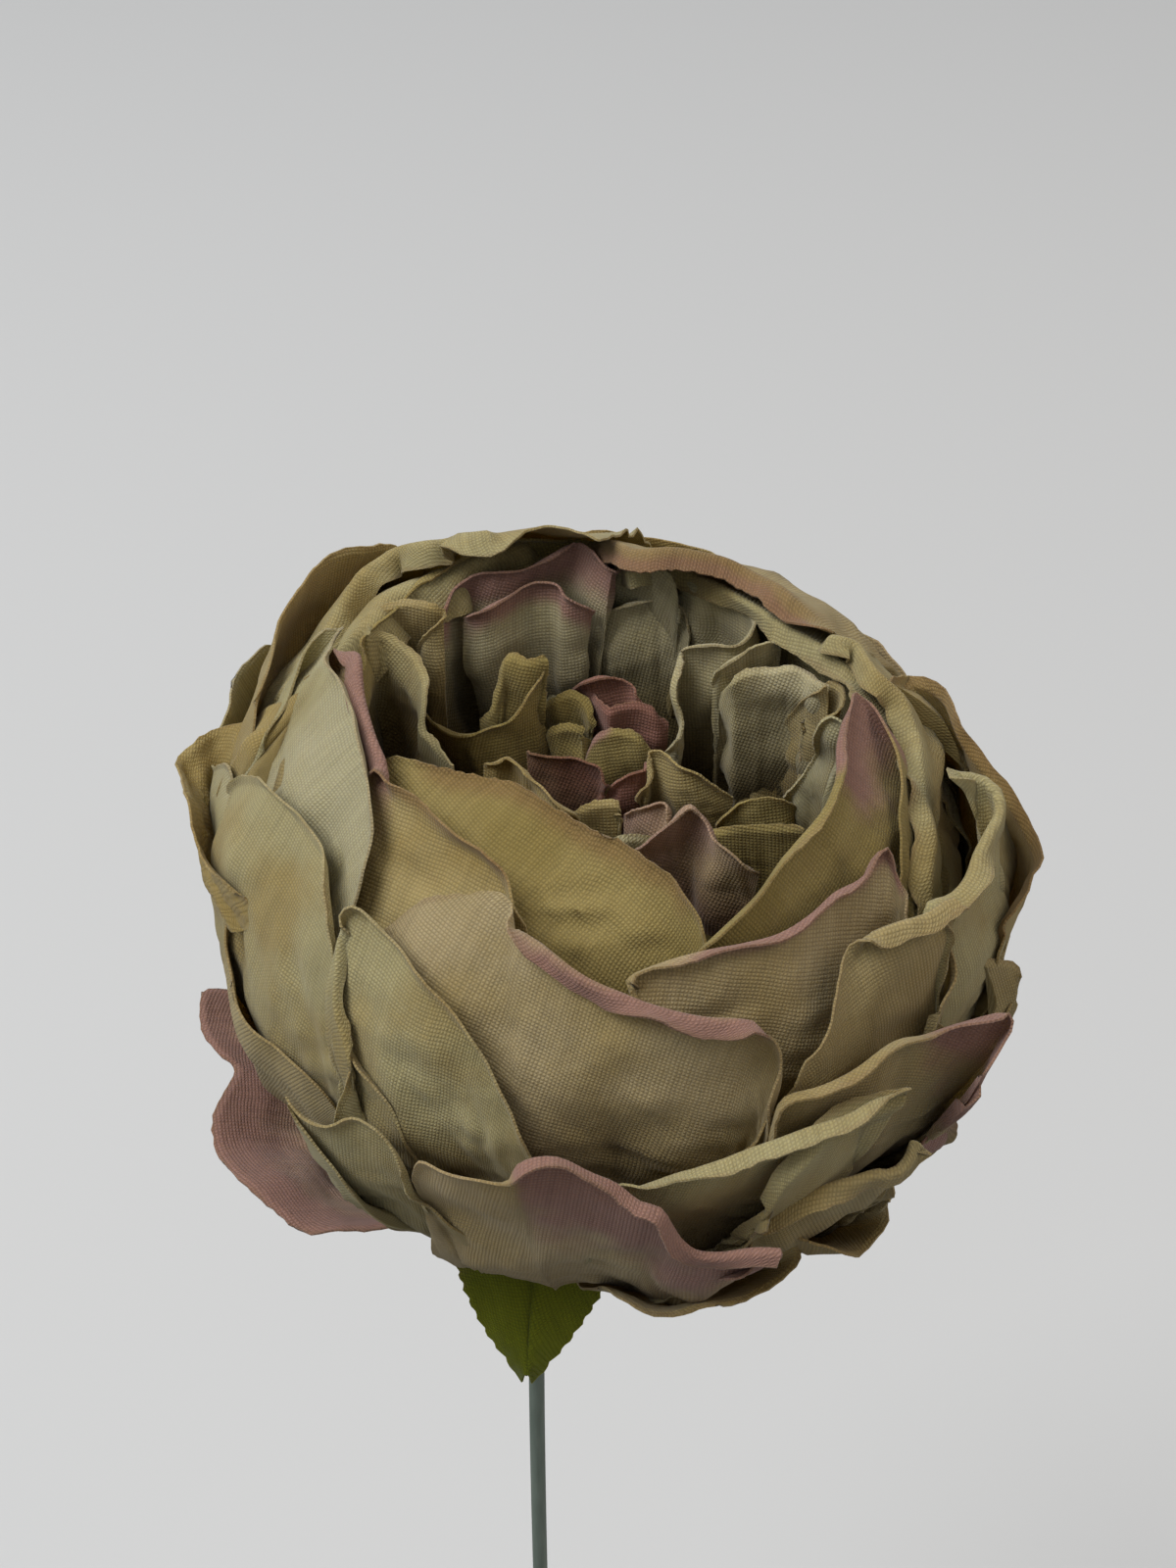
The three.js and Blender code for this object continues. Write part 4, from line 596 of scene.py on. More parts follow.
        (62, -35, 86)]),
    "right_far_low": ("ochre", (68, -40), 0.4, 0.9, 1.005, 3, [
        (92, -30, 84), (58, 16, 98), (60, 15, 99), (63.5, 12, 101), (64, 9, 102), (63.5, 6, 102),
        (61.5, 4.5, 101), (58, -10, 97), (50, -40, 88)]),
    "right_strap": ("sage", (86, 5), 0.4, 0.82, 0.872, 3, [
        (124, -25, 74), (119, 28, 85), (100, 58.5, 97), (97.5, 55.5, 98), (91.5, 54.5, 98), (86.5, 53, 98),
        (84.5, 50, 98), (81, 47.5, 97), (77, 45, 97), (71.5, 43.5, 97), (67, 42.5, 97), (65, 39.5, 97),
        (62.5, 36.5, 97), (58, 33, 97), (54.5, 29, 96), (56, 0, 90), (56, -30, 78)]),
    "right_cup_back": ("sage", (64, -25), 0.45, 0.86, 0.945, 3, [
        (46, -30, 90), (46, 20, 100), (47, 33, 104), (51, 32.5, 106), (55, 33, 107), (59, 34, 107),
        (63.5, 34.5, 107), (67.5, 35, 107), (69.5, 37.5, 107), (69.5, 39.5, 106), (68, 41, 105),
        (84, 18, 97), (84, -30, 88)]),
    # the back's rim
    "back_left": ("sage", (-145, 0), 0.4, 0.82, 0.955, 3, [
        (-100, -20, 80), (-100, 38, 95), (-118.5, 43, 100), (-121.5, 45, 102), (-125, 47, 104),
        (-129, 48.5, 105), (-133, 49.5, 106), (-136, 53.5, 106), (-142.5, 54, 104), (-144.5, 60, 103),
        (-149.5, 62.5, 102), (-155.5, 63.5, 101), (-163, 64.5, 100), (-169.5, 68.5, 99), (-176, 70.5, 97),
        (-188, 46, 93), (-192, -20, 80)]),
    "back_left_inner": ("sage", (-142, 5), 0.4, 0.8, 0.925, 3, [
        (-104, 0, 80), (-112, 48, 95), (-124, 50, 97), (-133, 52, 97.5), (-143, 53, 97.5), (-154, 54, 96.5),
        (-166, 52, 95), (-174, 0, 80)]),
    "back_right": ("ochre", (142, 0), 0.4, 0.82, 0.88, 4, [
        (194, -20, 74), (188, 50, 93.5), (172.5, 70.5, 96), (152, 67.5, 98), (139, 63.5, 98),
        (130, 62.5, 98), (118.5, 63, 98), (109.5, 62, 97), (102.5, 60.5, 96), (106, 46, 90), (100, 38, 88),
        (94, -20, 80)]),
    "back_right_inner": ("sage", (128, 5), 0.4, 0.79, 0.86, 3, [
        (176, -10, 70), (174, 63.5, 88), (157, 58.5, 90), (141.5, 61.5, 90), (125.5, 62, 90),
        (112, 61.5, 91), (102, 58.5, 92), (94.5, 56, 92), (88, 54.5, 92), (81.5, 53.5, 91), (84, 25, 88),
        (86, 0, 84)]),
    # the back, below its rim
    "back_mid_left": ("pale", (-140, -25), 0.45, 0.88, 0.975, 3, [
        (-104, -35, 82), (-110, 8, 97), (-120, 24, 100), (-132, 30, 103), (-146, 29, 104), (-158, 24, 102),
        (-168, 6, 98), (-172, -35, 84)]),
    "back_mid": ("yellow", (178, -25), 0.45, 0.9, 1.005, 3, [
        (212, -38, 86), (206, 6, 100), (196, 24, 103), (184, 30, 104), (172, 28, 104), (160, 25, 102),
        (150, 4, 99), (146, -38, 86)]),
    "back_mid_right": ("cream", (132, -25), 0.45, 0.86, 0.915, 3, [
        (164, -35, 84), (158, 4, 95), (147, 22, 96), (134, 25, 96), (121, 22, 94), (112, 14, 92),
        (102, 2, 91), (98, -35, 84)]),
    "back_low_left": ("ochre", (-128, -50), 0.45, 0.94, 0.99, 3, [
        (-98, -42, 84), (-104, -18, 93), (-112, -8, 98), (-122, -2, 103), (-134, -4, 104), (-146, -14, 99),
        (-152, -44, 86)]),
    "back_low": ("mauve", (-172, -50), 0.45, 0.96, 1.01, 3, [
        (-136, -44, 88), (-144, -16, 100), (-156, -5, 106), (-170, -1, 108), (-184, -5, 106),
        (-196, -16, 100), (-202, -44, 88)]),
    "back_low_right": ("ochre", (140, -50), 0.45, 0.94, 0.99, 3, [
        (176, -44, 87), (168, -16, 99), (156, -7, 104), (142, -2, 106), (128, -5, 104), (118, -16, 97),
        (112, -42, 86)]),
    "right_low": ("sage", (100, -50), 0.45, 0.93, 0.975, 3, [
        (126, -42, 86), (120, -18, 96), (111, -9, 100), (101, -7, 101), (91, -10, 99), (83, -20, 95),
        (78, -42, 86)]),
}

# %% The cup petals' lips
# the length of the rolled edge in mm, and its turns in degrees from one place of the rim to another
LIPS = {
    "front_main": (2.7, [(8.0, 14.8, 165), (15.0, 19.0, 30)]),
    "front_upper_left": (2.6, [(2.5, 8.0, 50), (9.0, 12.6, 165)]),
    "right_lip": (1.5, [(1.0, 10.2, 110)]),
    "right_cup": (2.6, [(5.6, 9.6, 140)]),
    "right_spire": (1.6, [(1.0, 8.4, 90)]),
    "tip_right": (2.0, [(1.0, 9.0, 80)]),
    "fold_right": (2.4, [(2.2, 8.6, 90), (9.4, 15.0, 60)]),
    "edge_right": (2.6, [(1.0, 8.0, 150)]),
    "skirt_front": (2.2, [(2.5, 6.4, 30), (6.4, 13.0, 75), (13.0, 20.0, 110)]),
    "left_small": (1.4, [(1.0, 7.6, 40)]),
    "left_long_inner": (1.6, [(1.0, 12.0, 50)]),
    "left_long_outer": (1.4, [(1.0, 9.0, 50)]),
    "left_shoulder": (1.6, [(2.0, 5.0, 60)]),
    "right_strap": (3.2, [(1.5, 9.2, -110), (10.6, 14.0, -80)]),
    "right_far": (1.6, [(1.0, 15.0, 40)]),
    "right_cup_back": (3.0, [(1.6, 9.4, 140)]),
    "back_left": (4.0, [(1.0, 10.0, -90)]),
    "back_left_inner": (7.0, [(0.5, 6.5, -105)]),
    "back_right": (3.6, [(1.0, 7.4, -65)]),
    "back_right_inner": (3.0, [(0.5, 7.5, -110)]),
}
PLAIN_LIP = (1.0, [(1.0, 99.0, 25)])

# %% Where mauve and brown were brushed on
# from one place of the rim to another, and how far in from the rim, in mm
MAUVE = {
    "front_main": (8.2, 15.2, 3.0),
    "right_lip": (3.5, 11.6, 1.9),
    "skirt_front": (6.6, 21.5, 17.0),
    "tip_right": (6.4, 14.6, 9.0),
    "right_spire": (6.0, 10.8, 9.0),
    "mauve_left": (0.0, 14.0, 7.0),
    "mauve_right": (0.0, 7.0, 8.0),
    "front_upper_left": (8.8, 12.6, 5.0),
    "back_right": (1.0, 8.0, 1.6),
}
BROWN = {
    "front_upper": (4.0, 13.0, 2.6),
    "front_upper_left": (3.5, 9.5, 1.2),
    "back_right": (1.0, 8.0, 5.0),
    "right_strap": (10.0, 11.0, 1.5),
    "right_far": (2.0, 15.0, 2.0),
}
NOT_BRUSHED = (0.0, 0.0, 1.0)


# %% Cutting and shaping the cup petals
MM_PER_COLUMN, MM_PER_ROW = 0.9, 1.0
PETAL_THICKNESS = 0.26
LIP_ROWS = 10
SHARED_SWELLING = 7  # one seed for the broad swellings, so that layers pressed together keep apart
BROAD_SWELL, BROAD_WAVE = 0.6, 19  # height and length in mm, as in the lines that follow
FINE_SWELL, FINE_WAVE = 0.15, 7
RIB_DEPTH, RIB_WIDTH, RIB_LENGTH = 0.12, 8, 45
CRUSH_DEPTH, CRUSH_WIDTH, CRUSH_LENGTH, CRUSH_PATCH = 0.24, 22, 5, 20
CREASES, CREASE_DEPTH = 6, 1.2
LIP_WAVER, LIP_WAVE = 0.25, 12
FRAY = 0.14


def window(place, start, end, fade=2.0):
    """1 between two places of a rim, fading to 0 round them."""
    return smooth((place - start) / fade + 0.5) * smooth((end - place) / fade + 0.5)


def cup_petal(name, number):
    dye, root, root_width, waist, body, flare, rim = PETALS[name]
    draw = np.random.default_rng(1000 + number)
    rough, _ = petal_sheet(root, root_width, waist, body, flare, rim, 40, 20)
    rim_length = np.linalg.norm(np.diff(rough[:, -1], axis=0), axis=1).sum()
    height = np.linalg.norm(np.diff(rough, axis=1), axis=2).sum(1).max()
    columns, rows = int(rim_length / MM_PER_COLUMN) + 2, int(height / MM_PER_ROW) + 2
    sheet, marks = petal_sheet(root, root_width, waist, body, flare, rim, columns, rows)
    length, turns = LIPS.get(name, PLAIN_LIP)
    u, v = np.linspace(0, 1, columns), np.linspace(0, 1, rows)[None, :]
    place = np.interp(u, marks, np.arange(len(marks)))
    if rim[0][0] > rim[-1][0]:
        place = len(rim) - 1 - place
    lift = BROAD_SWELL * swell(sheet, BROAD_WAVE, np.random.default_rng(SHARED_SWELLING))
    lift += FINE_SWELL * swell(sheet, FINE_WAVE, draw)
    ribbed = RIB_DEPTH * crinkles(sheet, RIB_WIDTH, RIB_LENGTH, draw)
    crushed = CRUSH_DEPTH * crinkles(sheet, CRUSH_WIDTH, CRUSH_LENGTH, draw) * swell(sheet, CRUSH_PATCH, draw)
    lift += (ribbed + crushed) * smooth((0.97 - v) / 0.25)
    folded, creased = creases(sheet, CREASES, CREASE_DEPTH, draw)
    moved = sheet + normals(sheet) * (lift * smooth(v / 0.4) + folded)[..., None]
    turn = sum(math.radians(degrees) * window(place, start, min(end, len(rim) - 2))
               for start, end, degrees in turns)
    turn = turn * (1 + LIP_WAVER * swell(sheet[:, -1], LIP_WAVE, draw))
    curled, way = curl(moved, turn, length, LIP_ROWS)

    def brushed(places):
        left, right, reach = places.get(name, NOT_BRUSHED)
        return np.exp(-(way / reach) ** 2) * window(place, left, right)[:, None]

    lip = np.ones((columns, LIP_ROWS))
    return piece_of_cloth("petal_" + name, fray(curled, FRAY, draw), {
        "mm_from_rim": way,
        # up_from_root and creased lead the cloth's painted shade; the rolled lip gets none
        "up_from_root": np.hstack([np.repeat(v, columns, 0), lip]),
        "creased": np.hstack([creased, 0 * lip]),
        "brushed": brushed(MAUVE),
        "stained": brushed(BROWN),
    }, PETAL_THICKNESS, CLOTHS[dye], draw.uniform(-0.5, 0.5))


petals = [cup_petal(name, number) for number, name in enumerate(PETALS)]
print(len(petals), "cup petals,", sum(len(p.data.polygons) for p in petals), "faces")

# %% [markdown]
# ## The ruffles
# In the open middle stand narrow strips of the same cloth, gathered at the foot so that their top
# edges wander in folds. Each is given by its cloth, the centre that its foot shrinks towards, how
# much it shrinks, the height of the foot and its top edge, in millimetres from the bloom's centre.

# %% The ruffles' places
RUFFLES = {
    "ribbon": ("light", (-13, 12), 0.75, 6, [
        (-22, 14, 19), (-22, 14.5, 23), (-19, 17, 29), (-16.5, 20, 31), (-13, 20, 32), (-10, 20.5, 32),
        (-7, 22, 33), (-4, 23, 34), (-1.5, 21, 34), (0.5, 19, 33), (-0.5, 20, 31)]),
    "bowl": ("light", (-8, 15), 0.6, 6, [
        (-17.5, 17.5, 26.5), (-15, 16, 29), (-13, 16.5, 30), (-10.5, 18.5, 30.5), (-8, 19, 31),
        (-6, 18.5, 31), (-5, 17.5, 30), (-2, 18, 28), (-3, 18.5, 26), (-5.5, 19, 23), (-8, 20, 20)]),
    "striped": ("ochre", (-20, 12), 0.85, 8, [
        (-28, 13.5, 29.5), (-26, 14.5, 30.5), (-23, 15, 31), (-19.5, 14, 31), (-19, 14, 30),
        (-20.5, 14, 28), (-21, 15, 24)]),
    "left_wall": ("sage", (-27, -2), 0.85, 10, [
        (-28, 12, 30), (-27.5, 10.5, 30), (-25.5, 11.5, 29), (-22.5, 9.5, 28), (-21.5, 7, 27), (-21, 3, 26),
        (-21, 0, 24), (-19, -3, 24), (-17, -5, 23)]),
    "cone": ("olive", (-12, 4), 0.7, 6, [
        (-21.5, 13, 17), (-18.5, 10, 17.5), (-16, 7.5, 18), (-12.5, 8, 19), (-9.5, 9.5, 21.5),
        (-7.5, 11, 24), (-7, 11.5, 26), (-9.5, 11.5, 25.5), (-11.5, 12, 25.5), (-12.5, 11.5, 22),
        (-13.5, 11, 19), (-15, 11.5, 17)]),
    "shell_back": ("olive", (-4, 8), 0.75, 7, [
        (-8.5, 13, 16), (-7.5, 13, 18), (-6, 12, 20), (-4.5, 12, 20.5), (-3, 11, 20), (-2, 9.5, 18),
        (-1.5, 10.5, 15)]),
    "shell_front": ("olive", (-4, 5), 0.8, 6, [
        (-8, 11.5, 14.5), (-7, 9.5, 17), (-5, 8.5, 18), (-3, 7.5, 18), (-2, 9, 16)]),
    "heart_back": ("rose", (2, 10), 0.6, 6, [
        (-4, 14, 19.5), (-2.5, 12.5, 22), (-1, 12, 23), (1.5, 11.5, 22), (3, 10.5, 21), (4.5, 11.5, 19)]),
    "heart_front": ("rose", (4, 6), 0.75, 6, [
        (-3, 13, 20), (-1.5, 10.5, 20.5), (0, 8.5, 20.5), (1.5, 9, 20.5), (3.5, 9.5, 20.5), (5.5, 9, 19.5),
        (7, 9.5, 18)]),
    "shell_middle": ("olive", (1, 3), 0.75, 6, [
        (-3, 8, 14), (-2, 7.5, 17), (0, 7, 18.5), (1.5, 7, 18.5), (3.5, 6.5, 18), (5, 6.5, 16)]),
    "shell_brown": ("brown", (-5, 2), 0.75, 6, [
        (-9.5, 4, 18), (-7.5, 3, 18.5), (-5.5, 2, 18.5), (-3, 1.5, 18.5), (-1, 1, 18), (-0.5, 0.5, 16.5),
        (-1, 1, 14)]),
    "heart_pink": ("rose", (2, 0), 0.75, 6, [
        (-0.5, 2, 12), (0.5, 1.5, 15), (2, 1.5, 17), (4, 2, 17.5), (4.5, 3.5, 17)]),
    "cream_fold": ("yellow", (8, -3), 0.75, 6, [
        (3.5, 0.5, 13), (4, 0.5, 16.5), (4.5, 2, 19.5), (6, 1.5, 20), (8, -0.5, 19.5), (9.5, -1, 19),
        (11, -1, 17.5), (14, -0.5, 15)]),
    "omega": ("light", (12, 9), 0.8, 6, [
        (7.5, 21, 28), (8.5, 19.5, 31), (10.5, 18, 31), (13, 18, 31), (15, 16, 31), (16, 13.5, 30.5),
        (15.5, 10.5, 30), (14, 9, 29.5), (11.5, 9.5, 29.5), (9, 10, 29), (7.5, 10, 28), (7, 8, 27),
        (7.5, 6, 25), (8, 5, 23), (7.5, 4, 20), (6.5, 5.5, 17)]),
    "block_back": ("light", (16, 8), 0.85, 8, [
        (11.5, 5.5, 26), (12, 4.5, 29), (13, 5, 30.5), (15, 6, 31), (17.5, 6.5, 31), (19.5, 7.5, 30.5)]),
    "block_front": ("light", (18, 2), 0.8, 6, [
        (12, 7.5, 22), (12.5, 5, 26), (13.5, 2.5, 29), (15, 2.5, 30), (17.5, 3, 30), (19.5, 2.5, 30.5),
        (21.5, 2, 30), (22.5, 1, 30), (24, 0.5, 30)]),
    "strip_middle": ("ochre", (25, -4), 0.75, 8, [
        (14.5, 3.5, 12), (16, 3.5, 16), (18.5, 4, 20), (20.5, 2.5, 25), (22.5, 1, 28.5), (24, 0, 30.5)]),
    "strip_edge": ("ochre", (23, -3), 0.85, 6, [
        (22, 0.5, 18), (21.5, 1.5, 24), (22.5, 0.5, 28), (24, 0, 30), (24, -1, 29), (23.5, -1, 26)]),
    "pale_right": ("pale", (23, -9), 0.85, 6, [
        (21.5, -1.5, 12), (21, -3, 18), (22.5, -4, 24), (23.5, -5, 29), (24, -5.5, 30), (25, -6, 29.5),
        (25, -6.5, 26), (23.5, -6, 20)]),
    "olive_low": ("olive", (16, -7), 0.8, 5, [
        (12, -3.5, 13), (13, -4, 15.5), (14.5, -4, 17), (16.5, -4.5, 18), (18.5, -4.5, 18), (20, -4, 17),
        (21, -2, 13)]),
    "front_mauve": ("mauve", (8, -16), 0.7, 6, [
        (2.5, -13.5, 18), (4.5, -13.5, 20.5), (6.5, -13.5, 22.5), (8.5, -13, 24), (9.5, -13.5, 23),
        (11, -15.5, 21.5), (14, -16.5, 20), (16, -17, 18)]),
    "small_mauve": ("mauve", (4, -9), 0.75, 5, [
        (1.5, -2.5, 14), (3.5, -4, 16), (6, -5, 17.5), (6, -6.5, 16)]),
    "small_cream": ("yellow", (-2, -8), 0.75, 5, [
        (-4, -3, 15), (-3, -5, 17.5), (-1.5, -5.5, 18.5), (1, -6.5, 18), (1.5, -6.5, 16)]),
    "sage_middle": ("light", (4, 13), 0.75, 6, [
        (-4, 20.5, 20), (-2.5, 21, 23), (-0.5, 20, 26), (2, 19, 28), (5, 19, 28.5), (7, 18.5, 28.5),
        (8.5, 18, 27.5), (9.5, 17.5, 25)]),
    "back_pale": ("pale", (4, 22), 0.9, 10, [
        (0, 23, 29), (1, 21.5, 32), (3.5, 20, 33), (6, 19, 33), (7.5, 17.5, 32), (8, 17.5, 29)]),
    "olive_middle": ("olive", (-4, 14), 0.8, 6, [
        (-7, 23, 16), (-6.5, 21.5, 20), (-4.5, 21, 22), (-3, 20, 21.5), (-2, 21, 18)]),
    "front_cream": ("yellow", (-12, -9), 0.85, 10, [
        (-14, -3.5, 22), (-12.5, -4.5, 23), (-11, -4.5, 24), (-9, -6.5, 24), (-7.5, -9, 23.5),
        (-5, -10.5, 22.5), (-4, -10, 20), (-3.5, -8, 17)]),
    # the inside of the back petals
    "lining_right": ("sage", (8, 6), 0.85, 5, [
        (0, 27, 27), (7, 26.5, 29), (14, 23.5, 30), (20, 18, 30.5), (24.5, 11, 30.5), (27, 4, 30),
        (28, -2, 29)]),
    "lining_left": ("olive", (-12, 8), 0.85, 5, [
        (-28, 4, 28), (-27, 11, 29.5), (-23, 18, 31), (-17, 23, 32), (-9, 26.5, 32.5), (-1, 27.5, 31)]),
    # behind the front rim, seen only from above and behind
    "inner_front_left": ("sage", (-6, -6), 0.8, 5, [
        (-20, -6, 18), (-16, -12, 20), (-9, -15.5, 20), (-2, -17, 19.5), (3, -18, 17)]),
    "inner_front_middle": ("pale", (2, -8), 0.8, 5, [
        (-12, -3, 14), (-9, -8, 16.5), (-3, -10.5, 17), (3, -9.5, 16.5), (7, -8, 14)]),
    "inner_front_right": ("olive", (14, -8), 0.8, 5, [
        (8, -7, 14), (12, -9, 17), (17, -10, 18.5), (21, -11, 19)]),
    "inner_left": ("olive", (-14, 2), 0.8, 5, [
        (-17, 5, 14), (-16, 0, 17), (-13, -2, 18), (-10, 0, 17), (-10, 3, 14)]),
}

# mauve brushed on their edges, given as for the cup petals
RUFFLE_MAUVE = {
    "ribbon": (1.0, 11.0, 5.0),
    "bowl": (0.0, 9.0, 3.0),
    "shell_middle": (0.0, 2.0, 1.5),
}

# %% Gathering the ruffles
RUFFLE_LEAN = 0.8
RUFFLE_ROWS, RUFFLE_LIP_ROWS = 34, 6
RUFFLE_MM_PER_COLUMN = 0.5
RUFFLE_LIP, RUFFLE_TURN = 1.1, 45  # in mm and degrees
RUFFLE_SWELLS = [(0.45, 10), (0.12, 5)]  # height and length
RUFFLE_RIBS = [(0.1, 4, 20), (0.05, 9, 2.5)]  # depth, length across and length up
RUFFLE_CREASES, RUFFLE_CREASE_DEPTH = 3, 0.4
RUFFLE_LIP_ENDS = 0.08  # the share of the edge, at each end, where the lip begins
RUFFLE_WAVER, RUFFLE_WAVE = 0.6, 8
RUFFLE_FRAY = 0.12


def ruffle(name, number):
    dye, foot_centre, foot_width, foot_height, edge = RUFFLES[name]
    draw = np.random.default_rng(2000 + number)
    length = np.linalg.norm(np.diff(np.array(edge, float), axis=0), axis=1).sum()
    columns = int(length / RUFFLE_MM_PER_COLUMN) + 4
    top, marks = even_curve(edge, columns)
    v = np.linspace(0, 1, RUFFLE_ROWS)[None, :]
    foot = np.array([*foot_centre, 0.0]) * (1 - foot_width) + top * foot_width
    foot[:, 2] = foot_height
    risen = np.stack([v ** RUFFLE_LEAN, v ** RUFFLE_LEAN, v], -1)
    sheet = lerp(foot[:, None, :], top[:, None, :], risen)
    lift = sum(height * swell(sheet, wave, draw) for height, wave in RUFFLE_SWELLS)
    wrinkled = sum(depth * crinkles(sheet, across, along, draw) for depth, across, along in RUFFLE_RIBS)
    lift += wrinkled * smooth((0.95 - v) / 0.3)
    folded, creased = creases(sheet, RUFFLE_CREASES, RUFFLE_CREASE_DEPTH, draw)
    moved = sheet + normals(sheet) * (lift * smooth(v / 0.3) + folded)[..., None]
    side = 1 if draw.random() < 0.5 else -1
    u = np.linspace(0, 1, columns)
    turn = side * np.radians(RUFFLE_TURN) * smooth(u / RUFFLE_LIP_ENDS) * smooth((1 - u) / RUFFLE_LIP_ENDS)
    turn *= 1 + RUFFLE_WAVER * swell(top, RUFFLE_WAVE, draw)
    curled, way = curl(moved, turn, RUFFLE_LIP, RUFFLE_LIP_ROWS)
    lip = np.ones((columns, RUFFLE_LIP_ROWS))
    left, right, reach = RUFFLE_MAUVE.get(name, NOT_BRUSHED)
    place = np.interp(u, marks, np.arange(len(marks)))
    return piece_of_cloth("ruffle_" + name, fray(curled, RUFFLE_FRAY, draw), {
        "mm_from_rim": way + 0.25,
        # lowered, so that the painted shade from the root reaches further up a ruffle
        "up_from_root": np.hstack([np.repeat(v * 0.95 - 0.12, columns, 0), lip]),
        "creased": np.hstack([creased, 0 * lip]),
        "brushed": np.exp(-(way / reach) ** 2) * window(place, left, right)[:, None],
        "stained": 0 * way,
    }, PETAL_THICKNESS, CLOTHS[dye], draw.uniform(-0.4, 0.4))


ruffles = [ruffle(name, number) for number, name in enumerate(RUFFLES)]
print(len(ruffles), "ruffles,", sum(len(p.data.polygons) for p in ruffles), "faces")

# %% [markdown]
# ## The core
# The petals are glued to a short padded body that nobody sees, except as the dark between them.
# Its dark olive colour is painted shadow, so that the gaps between the petals look shaded.
# A sphere is added and its points are moved to the core's outline: an egg with a dished top.

# %% The core
CORE_OUTLINE = [(-90, 0.86), (-60, 0.88), (-20, 0.88), (0, 0.87), (12, 0.84), (20, 0.8)]
DISH_HEIGHT, DISH_LATITUDE = 8.0, 20.0
DISH_FLOOR = 0.55  # the share of the dish's radius that is flat

deselect()
bpy.ops.mesh.primitive_uv_sphere_add(segments=64, ring_count=48, radius=1.0)
core = bpy.context.object
for vertex in core.data.vertices:
    latitude = math.degrees(math.asin(max(-1.0, min(1.0, vertex.co.z))))
    share = np.interp(latitude, *zip(*CORE_OUTLINE))
    azimuth = math.degrees(math.atan2(vertex.co.x, -vertex.co.y))
    point = on_ball(azimuth, min(latitude, DISH_LATITUDE), share)
    if latitude > DISH_LATITUDE:
        inwards = (90.0 - latitude) / (90.0 - DISH_LATITUDE)
        rim_height = point[2]
        point = point * (inwards, inwards, 1.0)
        point[2] = lerp(DISH_HEIGHT, rim_height, smooth((inwards - DISH_FLOOR) / (1.0 - DISH_FLOOR)))
    vertex.co = [*((point + BLOOM_CENTRE) * MM)]
bpy.ops.object.shade_smooth()
# the core's colour is painted shadow: dark olive, with fine noise
core_shadow, tree, shader = new_material("core_painted_shadow", Roughness=1.0, Specular_IOR_Level=0.05)
place = add(tree, "TexCoord").outputs["Object"]
fibres = add(tree, "TexNoise", [(place, "Vector")], in_Scale=900.0, in_Detail=4.0)
dull = add(tree, "Mix", [(fibres, 0)], data_type="RGBA", in_6="2e2612", in_7="4a3f22")
join(tree, dull.outputs[COLOUR_OUT], shader, "Base Color")
hand_in(core, "core", core_shadow, "petal_cloth", "bloom")
print("core,", len(core.data.polygons), "faces")

# %% [markdown]
# ## The calyx
# Under the petals sits a moulded green cup with pointed leaves of a yellow-green cloth, cut with
# pinking shears, so their edges are finely toothed. The cup is turned: an outline is spun round
# the stem's axis. The leaves are grids again, because they are cloth.

# %% Turning round work
def turned(name, outline, steps, centre=(0.0, 0.0)):
    """Spins an outline of (radius, height) in mm round an upright axis, and closes it."""
    mesh = bpy.data.meshes.new(name)
    mesh.from_pydata([(r * MM, 0.0, z * MM) for r, z in outline],
                     [(k, k + 1) for k in range(len(outline) - 1)], [])
    piece = linked(name, mesh)
    bpy.ops.object.mode_set(mode="EDIT")
    bpy.ops.mesh.select_all(action="SELECT")
    bpy.ops.mesh.spin(steps=steps, angle=2 * math.pi, center=(0, 0, 0), axis=(0, 0, 1))
    bpy.ops.mesh.select_all(action="SELECT")
    bpy.ops.mesh.remove_doubles(threshold=1e-6)
    bpy.ops.mesh.normals_make_consistent(inside=False)
    bpy.ops.transform.translate(value=(centre[0] * MM, centre[1] * MM, 0.0))
    bpy.ops.object.mode_set(mode="OBJECT")
    bpy.ops.object.shade_smooth_by_angle(angle=math.radians(TURNED_ANGLE))
    return piece


# %% The calyx's cup
CALYX_AXIS = np.array([-8.0, 0.0])
CALYX_TOP, CALYX_BOTTOM, CALYX_RADIUS = -34.6, -45.0, 11.0
STEM_RADIUS = 1.1
SOCKET_RADIUS = STEM_RADIUS + 0.3

# its third colour is the painted shade at the leaves' base and along their midribs
leaf_green = cloth("leaf_cloth", "5e6409", "535a08", "3c4406")
cup = turned("calyx_cup", [(r, z + BLOOM_CENTRE[2]) for r, z in [
    (0, CALYX_TOP - 4), (SOCKET_RADIUS, CALYX_TOP - 4), (SOCKET_RADIUS, CALYX_BOTTOM),
    (2.6, CALYX_BOTTOM), (3.4, -44.4), (4.2, -43.2), (6.2, -42), (7.5, -41.2), (9.6, -39),
    (CALYX_RADIUS, CALYX_TOP - 2), (CALYX_RADIUS, CALYX_TOP), (0, CALYX_TOP)]],
    48, CALYX_AXIS + BLOOM_CENTRE[:2])
moulded, tree, shader = new_material("moulded_green", Base_Color="56661c", Roughness=0.5)
place = add(tree, "TexCoord").outputs["Object"]
pits = add(tree, "TexNoise", [(place, "Vector")], in_Scale=1500.0)
pitted = add(tree, "Bump", [(pits, "Height")], in_Strength=0.3, in_Distance=0.0002)
join(tree, pitted, shader, "Normal")
hand_in(cup, "calyx_cup", moulded, "leaf_cloth", "calyx")
print("calyx cup,", len(cup.data.polygons), "faces")

